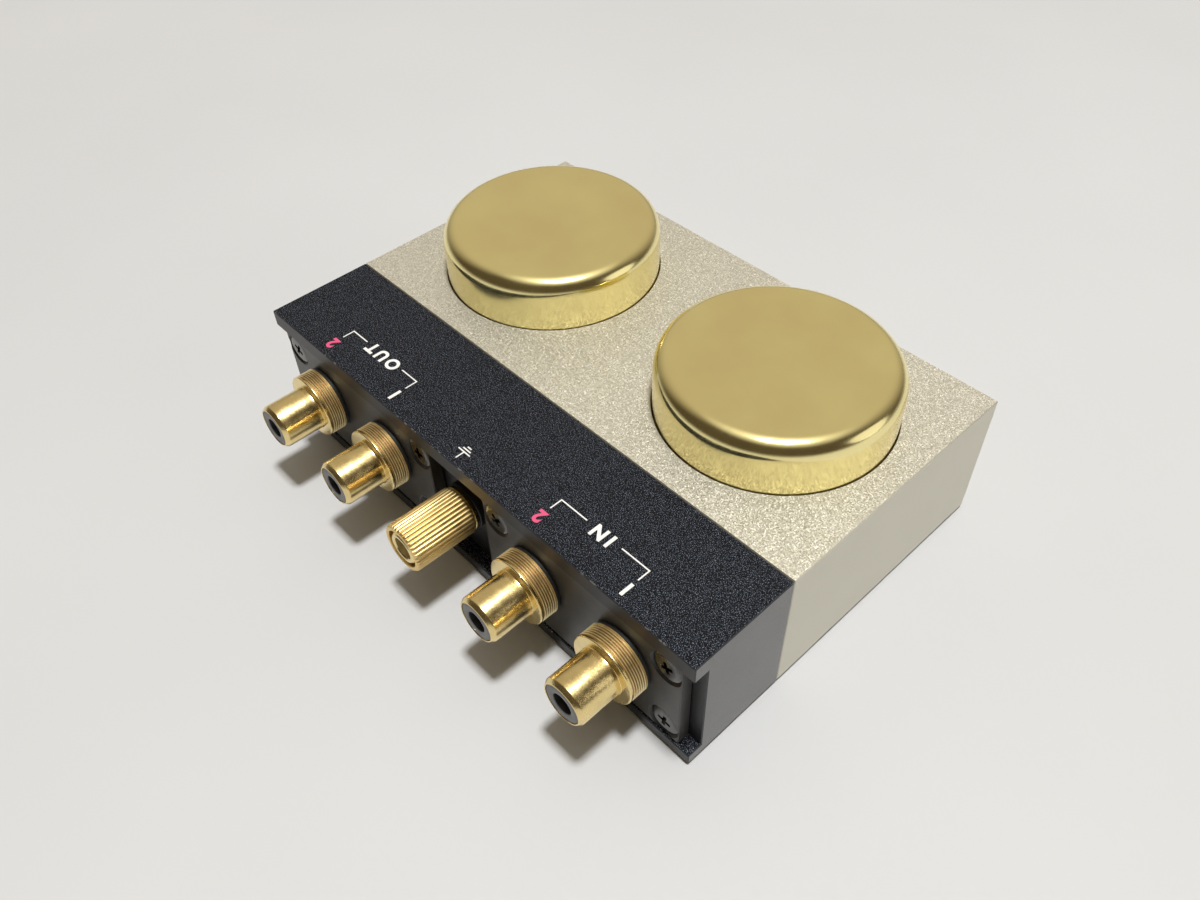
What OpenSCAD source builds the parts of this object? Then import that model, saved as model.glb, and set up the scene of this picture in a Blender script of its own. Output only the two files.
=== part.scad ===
// Moving coil step-up transformer: two joined aluminium housings, two round shielding cans that
// stand out of the deck, four phono sockets on two plates and a ground terminal between them.
// Sizes are in millimetres. The connector panel faces -Y, +X is to the right when facing that
// panel, +Z is up, and the origin is the middle of the footprint on the surface it stands on.

/* [Housings] */
// Width of both housings
body_w = 105; // [95:0.5:120]
// Depth of the transformer housing
transformer_d = 51.7; // [48:0.1:60]
// Depth of the terminal housing
terminal_d = 20.3; // [19.5:0.1:28]
// Height of the deck above the surface that the pads rest on
body_h = 26.4; // [24:0.1:32]
// Wall left at each end of the terminal housing's cavity
end_wall = 8.5; // [7.5:0.1:9]
// Wall between the terminal housing's cavity and the transformer housing
back_wall = 3; // [2.5:0.1:4]

/* [Base] */
// Thickness of the rubber pads under the housings
pad_t = 0.6; // [0.4:0.1:1.5]
// How far the pads stay inside the housings' edges
pad_inset = 0.45; // [0.3:0.05:2]
// Thickness of the base covers
cover_t = 2; // [1.5:0.1:2.5]
// Wall around the transformer housing's cover
cover_wall = 2.5; // [1.5:0.1:2.7]
// Wall in front of and behind the terminal housing's cover
cover_rim = 1.7; // [1.2:0.1:2]
// Gap around a cover in its recess
cover_gap = 0.15; // [0.05:0.05:0.3]
// Distance from a cover's edge to its screws
cover_screw_inset = 4; // [3.5:0.1:4.5]

/* [Cans] */
// Outside diameter of a can
can_d = 40.2; // [36:0.1:41]
// Wall of a can
can_wall = 0.8; // [0.5:0.1:1.5]
// Height of a can above the deck
can_rise = 9.8; // [8:0.1:15]
// Radius of the rounded edge round a can's top
can_edge_r = 3; // [1.5:0.1:5]
// How far each can stands outside the middle of its half of the housing
can_shift = 0.9; // [-1:0.1:1.2]
// Gap round a can in the deck
can_gap = 0.3; // [0.1:0.05:0.5]
// Width of the flange round a can's open end
can_flange_w = 2.2; // [1.5:0.1:2.4]
// Thickness of that flange
can_flange_t = 1; // [0.6:0.1:1.5]
// Height of the clamp ring that holds the flange up against its seat
ring_h = 5; // [4.6:0.1:6]
// Width of the ledge in the clamp ring that carries the terminal board
ring_ledge = 1.9; // [1:0.1:2.5]
// Gap round the flange, the clamp ring and the terminal board
ring_gap = 0.15; // [0.05:0.05:0.3]

/* [Transformers] */
// Width of a core
core_w = 28; // [24:0.5:29]
// Height of a core
core_h = 24; // [21:0.5:25]
// Thickness of the stack of laminations
core_stack = 11; // [9:0.5:12]
// Width of a core's middle leg, twice that of its outer legs
core_leg = 9; // [8:0.5:10]
// Wall of a bobbin
bobbin_wall = 0.8; // [0.6:0.1:1]
// Gap between a bobbin and its core
bobbin_gap = 0.2; // [0.1:0.05:0.3]
// Gap between the windings and the rim of the bobbin
winding_inset = 0.2; // [0.1:0.05:1]
// Thickness of the steel strap over a core
strap_t = 0.8; // [0.5:0.1:1.2]
// Width of that strap
strap_w = 8; // [6:0.5:9]
// Distance from the strap's feet to the terminal board's edge
strap_edge = 0.9; // [0.5:0.1:2]
// Diameter of the foam disc that presses a core down
foam_d = 22; // [15:0.5:28]
// Thickness of a terminal board
board_t = 1.6; // [1:0.1:2]
// Diameter of a terminal pin
pin_d = 1.2; // [0.8:0.1:1.4]
// Distance between neighbouring terminal pins
pin_pitch = 7; // [6.5:0.1:7.2]
// Distance of the outer pins from the board's edge
pin_edge = 2.05; // [1.2:0.05:4]
// How far the pins stand out below the board
pin_below = 0.8; // [0.5:0.1:1]
// How far the pins stand out above the board
pin_above = 2; // [1:0.1:4]

/* [Jack plates] */
// Depth of the groove along the connector side
groove_d = 2.75; // [2.5:0.05:3.5]
// Thickness of the lip above the groove
lip_top = 3.25; // [2.5:0.05:3.6]
// Thickness of the lip below the groove, from the surface the part stands on
lip_bottom = 2.7; // [2.65:0.05:3]
// Wall behind the groove
floor_t = 5; // [4:0.1:5.5]
// Thickness of a jack plate
plate_t = 2.45; // [2:0.05:2.7]
// Gap above and below a jack plate
plate_gap = 0.15; // [0.05:0.05:0.3]
// Distance from a housing's end to the jack plate
plate_end = 2.5; // [1:0.1:3]
// Half the gap between the two plates
plate_mid = 7.1; // [6.5:0.1:7.6]
// Distance from a plate's outer and inner edges to its screws
plate_screw_x = 3; // [2.95:0.05:3.2]
// Distance from a plate's upper and lower edges to its screws
plate_screw_z = 2.85; // [2.8:0.05:3.2]

/* [Phono jacks] */
// Distance from a plate's inner edge to its inner socket
jack_inner = 12.1; // [11.5:0.1:13]
// Distance from a plate's outer edge to its outer socket
jack_outer = 11.6; // [11.2:0.1:13]
// Height of the socket axes
jack_z = 14.3; // [13.5:0.1:14.8]
// Diameter of the barrel that a plug grips
barrel_d = 8.25; // [8:0.05:8.6]
// Length of the barrel in front of the collar
barrel_l = 7.8; // [7:0.1:10]
// Length of the chamfer at the barrel's tip
tip_chamfer_l = 0.7; // [0.3:0.1:1]
// Depth of that chamfer
tip_chamfer_r = 0.5; // [0.2:0.05:0.55]
// Diameter of the threaded collar
collar_d = 12.1; // [11:0.1:13]
// Length of the collar
collar_l = 3.5; // [3.2:0.1:5]
// Plain rim behind the collar's thread
collar_rim = 0.3; // [0.2:0.05:0.5]
// Chamfer at the collar's edges
collar_chamfer = 0.15; // [0.05:0.05:0.3]
// Number of thread ridges on the collar
collar_ridges = 6; // [3:1:6]
// Pitch of those ridges
collar_pitch = 0.42; // [0.3:0.02:0.44]
// Depth of those ridges
collar_groove = 0.22; // [0.1:0.02:0.3]
// Diameter of the threaded neck behind the collar
neck_d = 9; // [8.6:0.1:9.2]
// Length of neck that shows behind the nut
neck_end = 1; // [0.5:0.1:1.2]
// Wall of the barrel round the insulator
barrel_wall = 0.675; // [0.6:0.025:1]
// How far the insulator's face lies inside the barrel's tip
insulator_recess = 0.1; // [0:0.05:0.5]
// Diameter of the hole in the insulator's face
insulator_hole_d = 3.7; // [3.5:0.1:3.9]
// Length of insulator that shows behind the neck
insulator_end = 1; // [0.5:0.1:1.5]
// Outside diameter of the centre contact
contact_d = 4.2; // [4.1:0.05:4.6]
// Bore of the centre contact, for the pin of a plug
contact_bore_d = 3.3; // [3.2:0.05:3.5]
// Depth of that bore
contact_bore_l = 9; // [7:0.1:9.5]
// How far the centre contact lies behind the insulator's face
contact_recess = 2; // [1:0.1:2.5]
// Diameter of the contact's solder tail
tail_d = 1.8; // [1.2:0.1:2]
// Length of that tail
tail_l = 3.6; // [3:0.1:3.8]
// Thickness of the insulating washers
washer_t = 0.7; // [0.5:0.05:0.8]
// Diameter of the washer in front of the plate
front_washer_d = 11.6; // [10.8:0.1:12]
// Length of that washer's sleeve in the plate
sleeve_l = 1.2; // [0.8:0.1:1.6]
// Wall of that sleeve
sleeve_wall = 0.55; // [0.4:0.05:0.7]
// Diameter of the washer behind the plate
rear_washer_d = 12.4; // [11.5:0.1:13]
// Thickness of a solder lug
lug_t = 0.4; // [0.3:0.05:0.5]
// Diameter of a solder lug's ring
lug_d = 12; // [11:0.1:12.4]
// Width of a solder lug's tab
lug_tab_w = 2.4; // [1.6:0.1:3]
// Length of a solder lug's tab along the socket
lug_tab_l = 7; // [6:0.1:7.2]
// Distance of the tab from the socket's axis
lug_tab_r = 7.1; // [7:0.05:7.2]
// Size of a jack nut across its flats
nut_af = 12; // [11:0.1:12]
// Thickness of a jack nut
nut_t = 2.2; // [1.8:0.1:2.4]
// Diameter of the well round the nut in the housing
well_d = 16; // [15.6:0.1:16.2]
// Gap round a piece that fits another closely
fit_gap = 0.05; // [0.02:0.01:0.08]

/* [Ground terminal] */
// Diameter of the ground post
post_d = 6; // [5.6:0.1:6.2]
// Pitch of the ground post's thread
post_pitch = 0.75; // [0.5:0.05:1]
// Bore of the post, for a 4 mm plug
post_bore_d = 4.1; // [4:0.05:4.3]
// Depth of that bore
post_bore_l = 11; // [8:0.5:14]
// Chamfer at the post's tip
post_chamfer = 0.35; // [0.1:0.05:0.4]
// Diameter of the shoulder that seats in the spacer
shoulder_d = 7.2; // [6.8:0.1:7.6]
// Thickness of that shoulder
shoulder_t = 0.8; // [0.5:0.05:0.9]
// Diameter of the black spacer
spacer_d = 8.6; // [8.2:0.1:9]
// Thickness of the spacer
spacer_t = 1.4; // [1.2:0.05:1.6]
// Diameter of the washer under the knob
knob_washer_d = 8.2; // [7.8:0.1:8.6]
// Thickness of that washer
knob_washer_t = 0.75; // [0.5:0.05:1]
// Diameter of the knurled knob
knob_d = 8.8; // [8.4:0.1:10]
// Length of the knob
knob_l = 12; // [10:0.5:14]
// Number of ridges round the knob
knob_ridges = 36; // [24:1:40]
// Depth of the grooves between them
knob_groove = 0.25; // [0.1:0.05:0.35]
// Bevel at both ends of the knob
knob_bevel = 0.3; // [0.1:0.05:0.4]
// Diameter of the recess in the knob's end
knob_recess_d = 7; // [6.7:0.1:7.4]
// Depth of that recess
knob_recess_l = 1.5; // [0.5:0.1:3]
// How far the post's tip lies inside the knob's end
post_recess = 0.1; // [0:0.05:1]
// Space between the seated washer and what it meets
seat_gap = 0.05; // [0.02:0.01:0.1]
// Thickness of the ground tag
tag_t = 0.5; // [0.3:0.05:0.8]
// Diameter of the ground tag's ring
tag_d = 10; // [9:0.1:11]
// Length of the ground tag's tab along the post
tag_tab_l = 3; // [2:0.1:4]
// Size of the ground nut across its flats
ground_nut_af = 10; // [9:0.1:10.4]
// Thickness of the ground nut
ground_nut_t = 2.4; // [2:0.1:3]
// Length of post that shows behind the nut
post_end = 0.8; // [0.4:0.1:1]

/* [Screws and leads] */
// Diameter of the screws
screw_d = 3; // [2.5:0.1:3]
// Diameter of a countersunk head
csk_d = 5.6; // [5:0.1:5.6]
// Height of a countersunk head
csk_h = 1.6; // [1.2:0.05:1.7]
// How deep a countersunk head sits below its face
csk_sink = 0.1; // [0:0.05:0.2]
// Length of the jack plates' screws
plate_screw_l = 6.5; // [5:0.1:7]
// Length of the covers' screws
cover_screw_l = 6; // [5:0.1:8]
// Diameter of the pan heads inside
pan_d = 5.5; // [5:0.1:6]
// Height of the pan heads
pan_h = 2.2; // [1.5:0.1:2.4]
// Length of the screws that join the housings
join_screw_l = 9; // [7:0.1:10]
// How far those screws are below the cavity's top
join_drop = 3.65; // [3:0.05:4]
// How far the outer ones are from the cavity's ends
join_inset = 3; // [2.8:0.1:6]
// Width of the cross recess in a screw head
cross_w = 0.6; // [0.4:0.05:0.8]
// Length of the cross recess
cross_l = 3; // [2:0.1:3.4]
// Depth of the cross recess
cross_h = 1; // [0.5:0.1:1.2]
// Diameter of an inside lead
lead_d = 1.1; // [0.8:0.1:1.2]

/* [Hidden] */
$fn = 96;
eps = 0.01;
left = -1;
right = 1;

// Places along Y, from the lips to the back of the transformer housing
body_d = transformer_d + terminal_d;
y_lip = -body_d / 2;
y_floor = y_lip + groove_d;
y_plate = y_floor - plate_t;
y_cavity = y_floor + floor_t;
y_joint = y_lip + terminal_d;
y_back = body_d / 2;
y_wall = y_joint - back_wall;

// Places along Z, from the pads up
z_cover = pad_t + cover_t;
z_ring = z_cover + ring_h;
z_seat = z_ring + can_flange_t;
z_groove = body_h - lip_top;
z_can = body_h + can_rise;
join_screw_z = z_groove - join_drop;

// Cans and what holds them
can_r = can_d / 2;
can_x = body_w / 4 + can_shift;
can_y = y_joint + transformer_d / 2;
flange_r = can_r + can_flange_w;
seat_r = flange_r + ring_gap;
board_r = can_r - can_wall - ring_gap;
slot_h = ring_h - board_t;
slot_w = 3 * pin_pitch + 2 * lead_d + 1;
pin_row = sqrt(pow(board_r - pin_edge, 2) - pow(1.5 * pin_pitch, 2));

// Cores and windings
window_w = (core_w - 2 * core_leg) / 2;
window_h = core_h - core_leg;
tube_w = core_leg + 2 * bobbin_gap + 2 * bobbin_wall;
tube_d = core_stack + 2 * bobbin_gap + 2 * bobbin_wall;
winding_t = window_w - 2 * bobbin_gap - bobbin_wall - winding_inset;
winding_h = (window_h - 2 * bobbin_gap - 3 * bobbin_wall) / 2;
foam_t = z_can - can_wall - z_ring - core_h - strap_t;

// Jack plates
plate_x0 = plate_mid;
plate_x1 = body_w / 2 - plate_end;
plate_z0 = lip_bottom + plate_gap;
plate_z1 = z_groove - plate_gap;
screw_xs = [plate_x0 + plate_screw_x, plate_x1 - plate_screw_x];
screw_zs = [plate_z0 + plate_screw_z, plate_z1 - plate_screw_z];

// Stations along a socket, counted outwards from the plate's face
collar_r = collar_d / 2;
barrel_r = barrel_d / 2;
neck_r = neck_d / 2;
insulator_r = barrel_r - barrel_wall;
a_collar = washer_t;
a_thread = a_collar + collar_rim;
a_face = a_collar + collar_l;
a_tip = a_face + barrel_l;
a_washer = -plate_t - washer_t;
a_lug = a_washer - lug_t;
a_nut = a_lug - nut_t;
a_neck = a_nut - neck_end;
a_insulator = a_neck - insulator_end;
a_contact = a_tip - insulator_recess - contact_recess;
a_tail = a_insulator - tail_l;
sleeve_r = neck_r + fit_gap + sleeve_wall;

// Stations along the ground post, counted outwards from the groove's floor
b_washer = spacer_t + seat_gap;
b_knob = b_washer + knob_washer_t + seat_gap;
b_end = b_knob + knob_l;
b_tip = b_end - post_recess;
b_tag = -floor_t - tag_t;
b_nut = b_tag - ground_nut_t;
b_post = b_nut - post_end;
knob_r = knob_d / 2;
tag_tab_r = tag_d / 2 + tag_t;

// Socket places, from left to right when facing the panel
inner_jack_x = plate_x0 + jack_inner;
outer_jack_x = plate_x1 - jack_outer;
output_right_x = -outer_jack_x;
output_left_x = -inner_jack_x;
input_right_x = inner_jack_x;
input_left_x = outer_jack_x;
jack_xs = [output_right_x, output_left_x, input_right_x, input_left_x];

// Levels and lanes that the inside leads follow
lead_r = lead_d / 2;
lead_sides = 8;
z_lead = z_cover + lead_d;
z_lug = jack_z - lug_tab_r - lug_t / 2;
y_lug = y_plate - a_lug + lug_tab_l;
y_tail = y_plate - a_tail;
y_pin = can_y - pin_row;
near_y = y_wall - 1.2;
far_y = y_wall - 3;
// Lanes across the cavity: [distance from the front, hot wire's height, return wire's height]
left_lane = [far_y, 11, 9.4];
right_lane = [near_y, 8.2, 6.4];

champagne = [0.74, 0.71, 0.63];
black = [0.12, 0.12, 0.13];
dark_grey = [0.25, 0.25, 0.26];
gold = [0.83, 0.69, 0.35];
steel = [0.6, 0.6, 0.62];
grey = [0.55, 0.56, 0.57];
copper = [0.72, 0.42, 0.22];

// A block between two corners
module block(low, high) {
    translate(low) cube(high - low);
}

// A rounded rectangle in the plane, centred
module rounded(w, d, r) {
    square([w - 2 * r, d], center = true);
    square([w, d - 2 * r], center = true);
    for (x = [-1, 1], y = [-1, 1])
        translate([x * (w / 2 - r), y * (d / 2 - r)]) circle(r);
}

// A round disc with a hole
module disc(d, hole_d, t) {
    difference() {
        cylinder(d = d, h = t);
        translate([0, 0, -eps]) cylinder(d = hole_d, h = t + 2 * eps);
    }
}

// Turns a piece built along +Z to face out of the connector panel
module facing_out(x, y, z) {
    translate([x, y, z]) rotate([90, 0, 0]) children();
}

// Stands children on the axis of one can
module at_can(side) {
    translate([side * can_x, can_y, 0]) children();
}

// Cross recess in the face of a screw
module cross_recess() {
    for (turn = [0, 90])
        rotate(turn) translate([-cross_l / 2, -cross_w / 2, -cross_h]) cube([cross_l, cross_w, cross_h + eps]);
}

// Countersunk screw with its face at the origin, looking along +Z
module csk_screw(length) {
    difference() {
        union() {
            translate([0, 0, -csk_h]) cylinder(d1 = screw_d, d2 = csk_d, h = csk_h);
            translate([0, 0, -length]) cylinder(d = screw_d, h = length - csk_h + eps);
        }
        cross_recess();
    }
}

// Hole for a countersunk screw, through a plate of the given thickness
module csk_hole(thickness) {
    head_d = csk_d + 2 * fit_gap;
    translate([0, 0, -csk_sink - csk_h]) cylinder(d1 = screw_d + 2 * fit_gap, d2 = head_d, h = csk_h);
    translate([0, 0, -csk_sink]) cylinder(d = head_d, h = csk_sink + eps);
    translate([0, 0, -thickness - eps]) cylinder(d = screw_d + 2 * fit_gap, h = thickness + eps);
}

// Pan-headed screw with its seat at the origin and its head towards +Z
module pan_screw(length) {
    difference() {
        union() {
            cylinder(d = pan_d, h = pan_h);
            translate([0, 0, -length]) cylinder(d = screw_d, h = length + eps);
        }
        translate([0, 0, pan_h]) cross_recess();
    }
}

// Hexagon nut standing on the origin
module hex_nut(af, hole_d, t) {
    difference() {
        cylinder(d = af / cos(30), h = t, $fn = 6);
        translate([0, 0, -eps]) cylinder(d = hole_d, h = t + 2 * eps);
    }
}

// Footprint of each cover, as low and high corners
function transformer_rect(gap) = [
    [-body_w / 2 + cover_wall + gap, y_joint + cover_wall + gap],
    [body_w / 2 - cover_wall - gap, y_back - cover_wall - gap]];
function terminal_rect(gap) = [
    [-body_w / 2 + cover_wall + gap, y_floor + cover_rim + gap],
    [body_w / 2 - cover_wall - gap, y_joint - cover_rim - gap]];

// Screw places in each cover
transformer_screw_x = transformer_rect(0)[1][0] - cover_screw_inset;
transformer_screw_ys = [transformer_rect(0)[0][1] + cover_screw_inset,
    transformer_rect(0)[1][1] - cover_screw_inset];
transformer_screws_at = [for (x = [-1, 0, 1], y = transformer_screw_ys) [x * transformer_screw_x, y]];
terminal_screw_x = body_w / 2 - (end_wall + cover_wall) / 2;
terminal_screw_y = (terminal_rect(0)[0][1] + terminal_rect(0)[1][1]) / 2;
terminal_screws_at = [for (x = [-1, 1]) [x * terminal_screw_x, terminal_screw_y]];
join_x = body_w / 2 - end_wall - join_inset;
join_xs = [-join_x, 0, join_x];

// Tapped hole up from a cover
module cover_tap(place) {
    depth = cover_screw_l + 0.5;
    translate([place[0], place[1], pad_t]) cylinder(d = screw_d + 2 * fit_gap, h = depth);
}

// Opening for the leads of one can through the walls between the housings
module lead_slot(side) {
    x = side * can_x;
    block([x - slot_w / 2, y_wall - eps, z_cover], [x + slot_w / 2, y_pin, z_cover + slot_h]);
}

module transformer_housing() {
    rect = transformer_rect(0);
    color(champagne) difference() {
        block([-body_w / 2, y_joint, pad_t], [body_w / 2, y_back, body_h]);
        block([rect[0][0], rect[0][1], pad_t - eps], [rect[1][0], rect[1][1], z_cover]);
        for (side = [left, right]) {
            at_can(side) translate([0, 0, z_cover - eps]) cylinder(r = seat_r, h = z_seat - z_cover + eps);
            at_can(side) translate([0, 0, z_cover]) cylinder(r = can_r + can_gap, h = body_h);
            lead_slot(side);
        }
        for (x = join_xs)
            facing_out(x, y_wall, join_screw_z)
                translate([0, 0, -join_screw_l - 0.5]) cylinder(d = screw_d + 2 * fit_gap, h = join_screw_l);
        for (place = transformer_screws_at)
            cover_tap(place);
    }
}

module terminal_housing() {
    rect = terminal_rect(0);
    color(black) difference() {
        block([-body_w / 2, y_lip, pad_t], [body_w / 2, y_joint, body_h]);
        block([-body_w, y_lip - eps, lip_bottom], [body_w, y_floor, z_groove]);
        block([rect[0][0], rect[0][1], pad_t - eps], [rect[1][0], rect[1][1], z_cover]);
        block([-body_w / 2 + end_wall, y_cavity, z_cover - eps], [body_w / 2 - end_wall, y_wall, z_groove]);
        for (side = [left, right])
            lead_slot(side);
        for (x = jack_xs)
            facing_out(x, y_cavity + eps, jack_z) cylinder(d = well_d, h = floor_t + 2 * eps);
        facing_out(0, y_cavity + eps, jack_z) cylinder(d = post_d + 2 * fit_gap, h = floor_t + 2 * eps);
        for (side = [left, right], x = screw_xs, z = screw_zs)
            facing_out(side * x, y_plate, z)
                translate([0, 0, -plate_screw_l - 0.5]) cylinder(d = screw_d + 2 * fit_gap, h = plate_screw_l);
        for (x = join_xs)
            facing_out(x, y_joint + eps, join_screw_z)
                cylinder(d = screw_d + 2 * fit_gap, h = back_wall + 2 * eps);
        for (place = terminal_screws_at)
            cover_tap(place);
    }
}

// A base cover in its recess, with its countersunk holes
module base_cover(rect, places) {
    difference() {
        block([rect[0][0], rect[0][1], pad_t], [rect[1][0], rect[1][1], z_cover]);
        for (place = places)
            translate([place[0], place[1], pad_t]) rotate([180, 0, 0]) csk_hole(cover_t);
    }
}

module cover_screws(places) {
    for (place = places)
        translate([place[0], place[1], pad_t + csk_sink]) rotate([180, 0, 0]) csk_screw(cover_screw_l);
}

module transformer_cover() {
    color(dark_grey) base_cover(transformer_rect(cover_gap), transformer_screws_at);
}

module terminal_cover() {
    color(dark_grey) base_cover(terminal_rect(cover_gap), terminal_screws_at);
}

module transformer_cover_screws() {
    color(steel) cover_screws(transformer_screws_at);
}

module terminal_cover_screws() {
    color(steel) cover_screws(terminal_screws_at);
}

// Rubber pad under a housing that runs from y0 to y1
module pad(y0, y1) {
    color(black) block([-body_w / 2 + pad_inset, y0 + pad_inset, 0], [body_w / 2 - pad_inset, y1 - pad_inset, pad_t]);
}

module housing_screws() {
    color(steel) for (x = join_xs)
        facing_out(x, y_wall, join_screw_z) pan_screw(join_screw_l);
}

// Drawn can with a rounded edge round its top and a flange round its open end
module can(side) {
    inner_edge = max(can_edge_r - can_wall, eps);
    color(gold) at_can(side) difference() {
        union() {
            translate([0, 0, z_ring]) cylinder(r = can_r, h = z_can - can_edge_r - z_ring);
            translate([0, 0, z_ring]) cylinder(r = flange_r, h = can_flange_t);
            translate([0, 0, z_can - can_edge_r]) rotate_extrude() {
                square([can_r - can_edge_r, can_edge_r]);
                translate([can_r - can_edge_r, 0]) intersection() {
                    circle(can_edge_r);
                    square(can_edge_r);
                }
            }
        }
        translate([0, 0, z_ring - eps]) cylinder(r = can_r - can_wall, h = z_can - can_edge_r - z_ring + eps);
        translate([0, 0, z_can - can_edge_r - eps]) rotate_extrude() {
            square([can_r - can_edge_r, can_edge_r - can_wall + eps]);
            translate([can_r - can_edge_r, 0]) intersection() {
                circle(inner_edge);
                square(can_edge_r);
            }
        }
    }
}

// Ring between the base cover and the can's flange, with a ledge for the terminal board
module clamp_ring(side) {
    color(steel) at_can(side) translate([0, 0, z_cover]) difference() {
        cylinder(r = flange_r, h = ring_h);
        translate([0, 0, -eps]) cylinder(r = board_r - ring_ledge, h = ring_h + 2 * eps);
        translate([0, 0, slot_h]) cylinder(r = board_r + ring_gap, h = board_t + eps);
        block([-slot_w / 2, -flange_r - eps, -eps], [slot_w / 2, 0, slot_h]);
    }
}

// Places of the four pins on a terminal board
pin_xs = [for (i = [-1.5, -0.5, 0.5, 1.5]) i * pin_pitch];

module terminal_board(side) {
    color([0.45, 0.3, 0.15]) at_can(side) difference() {
        translate([0, 0, z_ring - board_t]) cylinder(r = board_r, h = board_t);
        for (x = pin_xs)
            translate([x, -pin_row, z_ring - board_t - eps]) cylinder(d = pin_d + 2 * fit_gap, h = board_t + 2 * eps);
    }
}

module terminal_pins() {
    length = pin_below + board_t + pin_above;
    color(steel) for (side = [left, right], x = pin_xs)
        at_can(side) translate([x, -pin_row, z_ring - board_t - pin_below]) cylinder(d = pin_d, h = length);
}

// Stack of E laminations with its I stack on top
module core(side) {
    foot = core_leg / 2;
    color(grey) at_can(side) translate([0, -core_stack / 2, z_ring]) {
        difference() {
            translate([-core_w / 2, 0, 0]) cube([core_w, core_stack, core_h - foot]);
            for (x = [-core_leg / 2 - window_w, core_leg / 2])
                translate([x, -eps, foot]) cube([window_w, core_stack + 2 * eps, window_h + eps]);
        }
        translate([-core_w / 2, 0, core_h - foot]) cube([core_w, core_stack, foot]);
    }
}

module core_strap(side) {
    reach = core_w / 2 + strap_t;
    foot = sqrt(pow(board_r - strap_edge, 2) - pow(strap_w / 2, 2));
    color(steel) at_can(side) translate([0, -strap_w / 2, z_ring]) difference() {
        union() {
            translate([-reach, 0, 0]) cube([2 * reach, strap_w, core_h + strap_t]);
            translate([-foot, 0, 0]) cube([2 * foot, strap_w, strap_t]);
        }
        translate([-core_w / 2, -eps, -eps]) cube([core_w, strap_w + 2 * eps, core_h + eps]);
    }
}

// Split bobbin round the core's middle leg
module bobbin(side) {
    rim_w = core_leg + 2 * (window_w - bobbin_gap);
    rim_d = tube_d + rim_w - tube_w;
    step = winding_h + bobbin_wall;
    color([0.85, 0.83, 0.75]) at_can(side) translate([0, 0, z_ring + core_leg / 2]) difference() {
        union() {
            translate([-tube_w / 2, -tube_d / 2, 0]) cube([tube_w, tube_d, 2 * step + bobbin_wall]);
            for (i = [0:2])
                translate([0, 0, i * step]) linear_extrude(bobbin_wall) rounded(rim_w, rim_d, bobbin_wall);
        }
        translate([-core_leg / 2 - bobbin_gap, -core_stack / 2 - bobbin_gap, -eps])
            cube([core_leg + 2 * bobbin_gap, core_stack + 2 * bobbin_gap, core_h]);
    }
}

// One section of winding on the bobbin: 0 is the lower one and 1 the upper one
module winding(side, section) {
    base = z_ring + core_leg / 2 + bobbin_wall + section * (winding_h + bobbin_wall);
    color(copper) at_can(side) translate([0, 0, base]) linear_extrude(winding_h) difference() {
        rounded(tube_w + 2 * winding_t, tube_d + 2 * winding_t, winding_t);
        square([tube_w, tube_d], center = true);
    }
}

module foam_disc(side) {
    color(dark_grey) at_can(side) translate([0, 0, z_ring + core_h + strap_t]) cylinder(d = foam_d, h = foam_t);
}

// Plate with two sockets, in the groove on one side of the ground terminal
module jack_plate(side) {
    color(dark_grey) difference() {
        block([min(side * plate_x0, side * plate_x1), y_plate, plate_z0],
            [max(side * plate_x0, side * plate_x1), y_floor, plate_z1]);
        for (x = [inner_jack_x, outer_jack_x])
            facing_out(side * x, y_floor + eps, jack_z)
                cylinder(r = sleeve_r + fit_gap, h = plate_t + 2 * eps);
        for (x = screw_xs, z = screw_zs)
            facing_out(side * x, y_plate, z) csk_hole(plate_t);
    }
}

module jack_plate_screws() {
    color(black) for (side = [left, right], x = screw_xs, z = screw_zs)
        facing_out(side * x, y_plate + csk_sink, z) csk_screw(plate_screw_l);
}

// Outer conductor: neck, ridged collar and chamfered barrel in one turned piece
module jack_shell(x) {
    ridges = [for (i = [0:collar_ridges - 1], half = [0, 1])
        [collar_r - collar_groove * (1 - half), a_thread + (i + half / 2) * collar_pitch]];
    color(gold) facing_out(x, y_plate, jack_z) rotate_extrude() polygon(concat(
        [[insulator_r, a_neck], [neck_r, a_neck], [neck_r, a_collar],
            [collar_r - collar_chamfer, a_collar], [collar_r, a_collar + collar_chamfer],
            [collar_r, a_thread - collar_pitch / 4]],
        ridges,
        [[collar_r - collar_groove, a_thread + collar_ridges * collar_pitch],
            [collar_r, a_thread + (collar_ridges + 0.25) * collar_pitch],
            [collar_r, a_face - collar_chamfer], [collar_r - collar_chamfer, a_face],
            [barrel_r, a_face], [barrel_r, a_tip - tip_chamfer_l],
            [barrel_r - tip_chamfer_r, a_tip], [insulator_r, a_tip]]));
}

module jack_insulator(x) {
    face = a_tip - insulator_recess;
    inner_r = contact_d / 2 + fit_gap;
    color(grey) facing_out(x, y_plate, jack_z) rotate_extrude() polygon([
        [inner_r, a_insulator], [insulator_r - fit_gap, a_insulator], [insulator_r - fit_gap, face],
        [insulator_hole_d / 2, face], [insulator_hole_d / 2, a_contact], [inner_r, a_contact]]);
}

module jack_contact(x) {
    color(gold) facing_out(x, y_plate, jack_z) difference() {
        union() {
            translate([0, 0, a_insulator]) cylinder(d = contact_d, h = a_contact - a_insulator);
            translate([0, 0, a_tail]) cylinder(d = tail_d, h = tail_l + eps);
        }
        translate([0, 0, a_contact - contact_bore_l]) cylinder(d = contact_bore_d, h = contact_bore_l + eps);
    }
}

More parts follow.
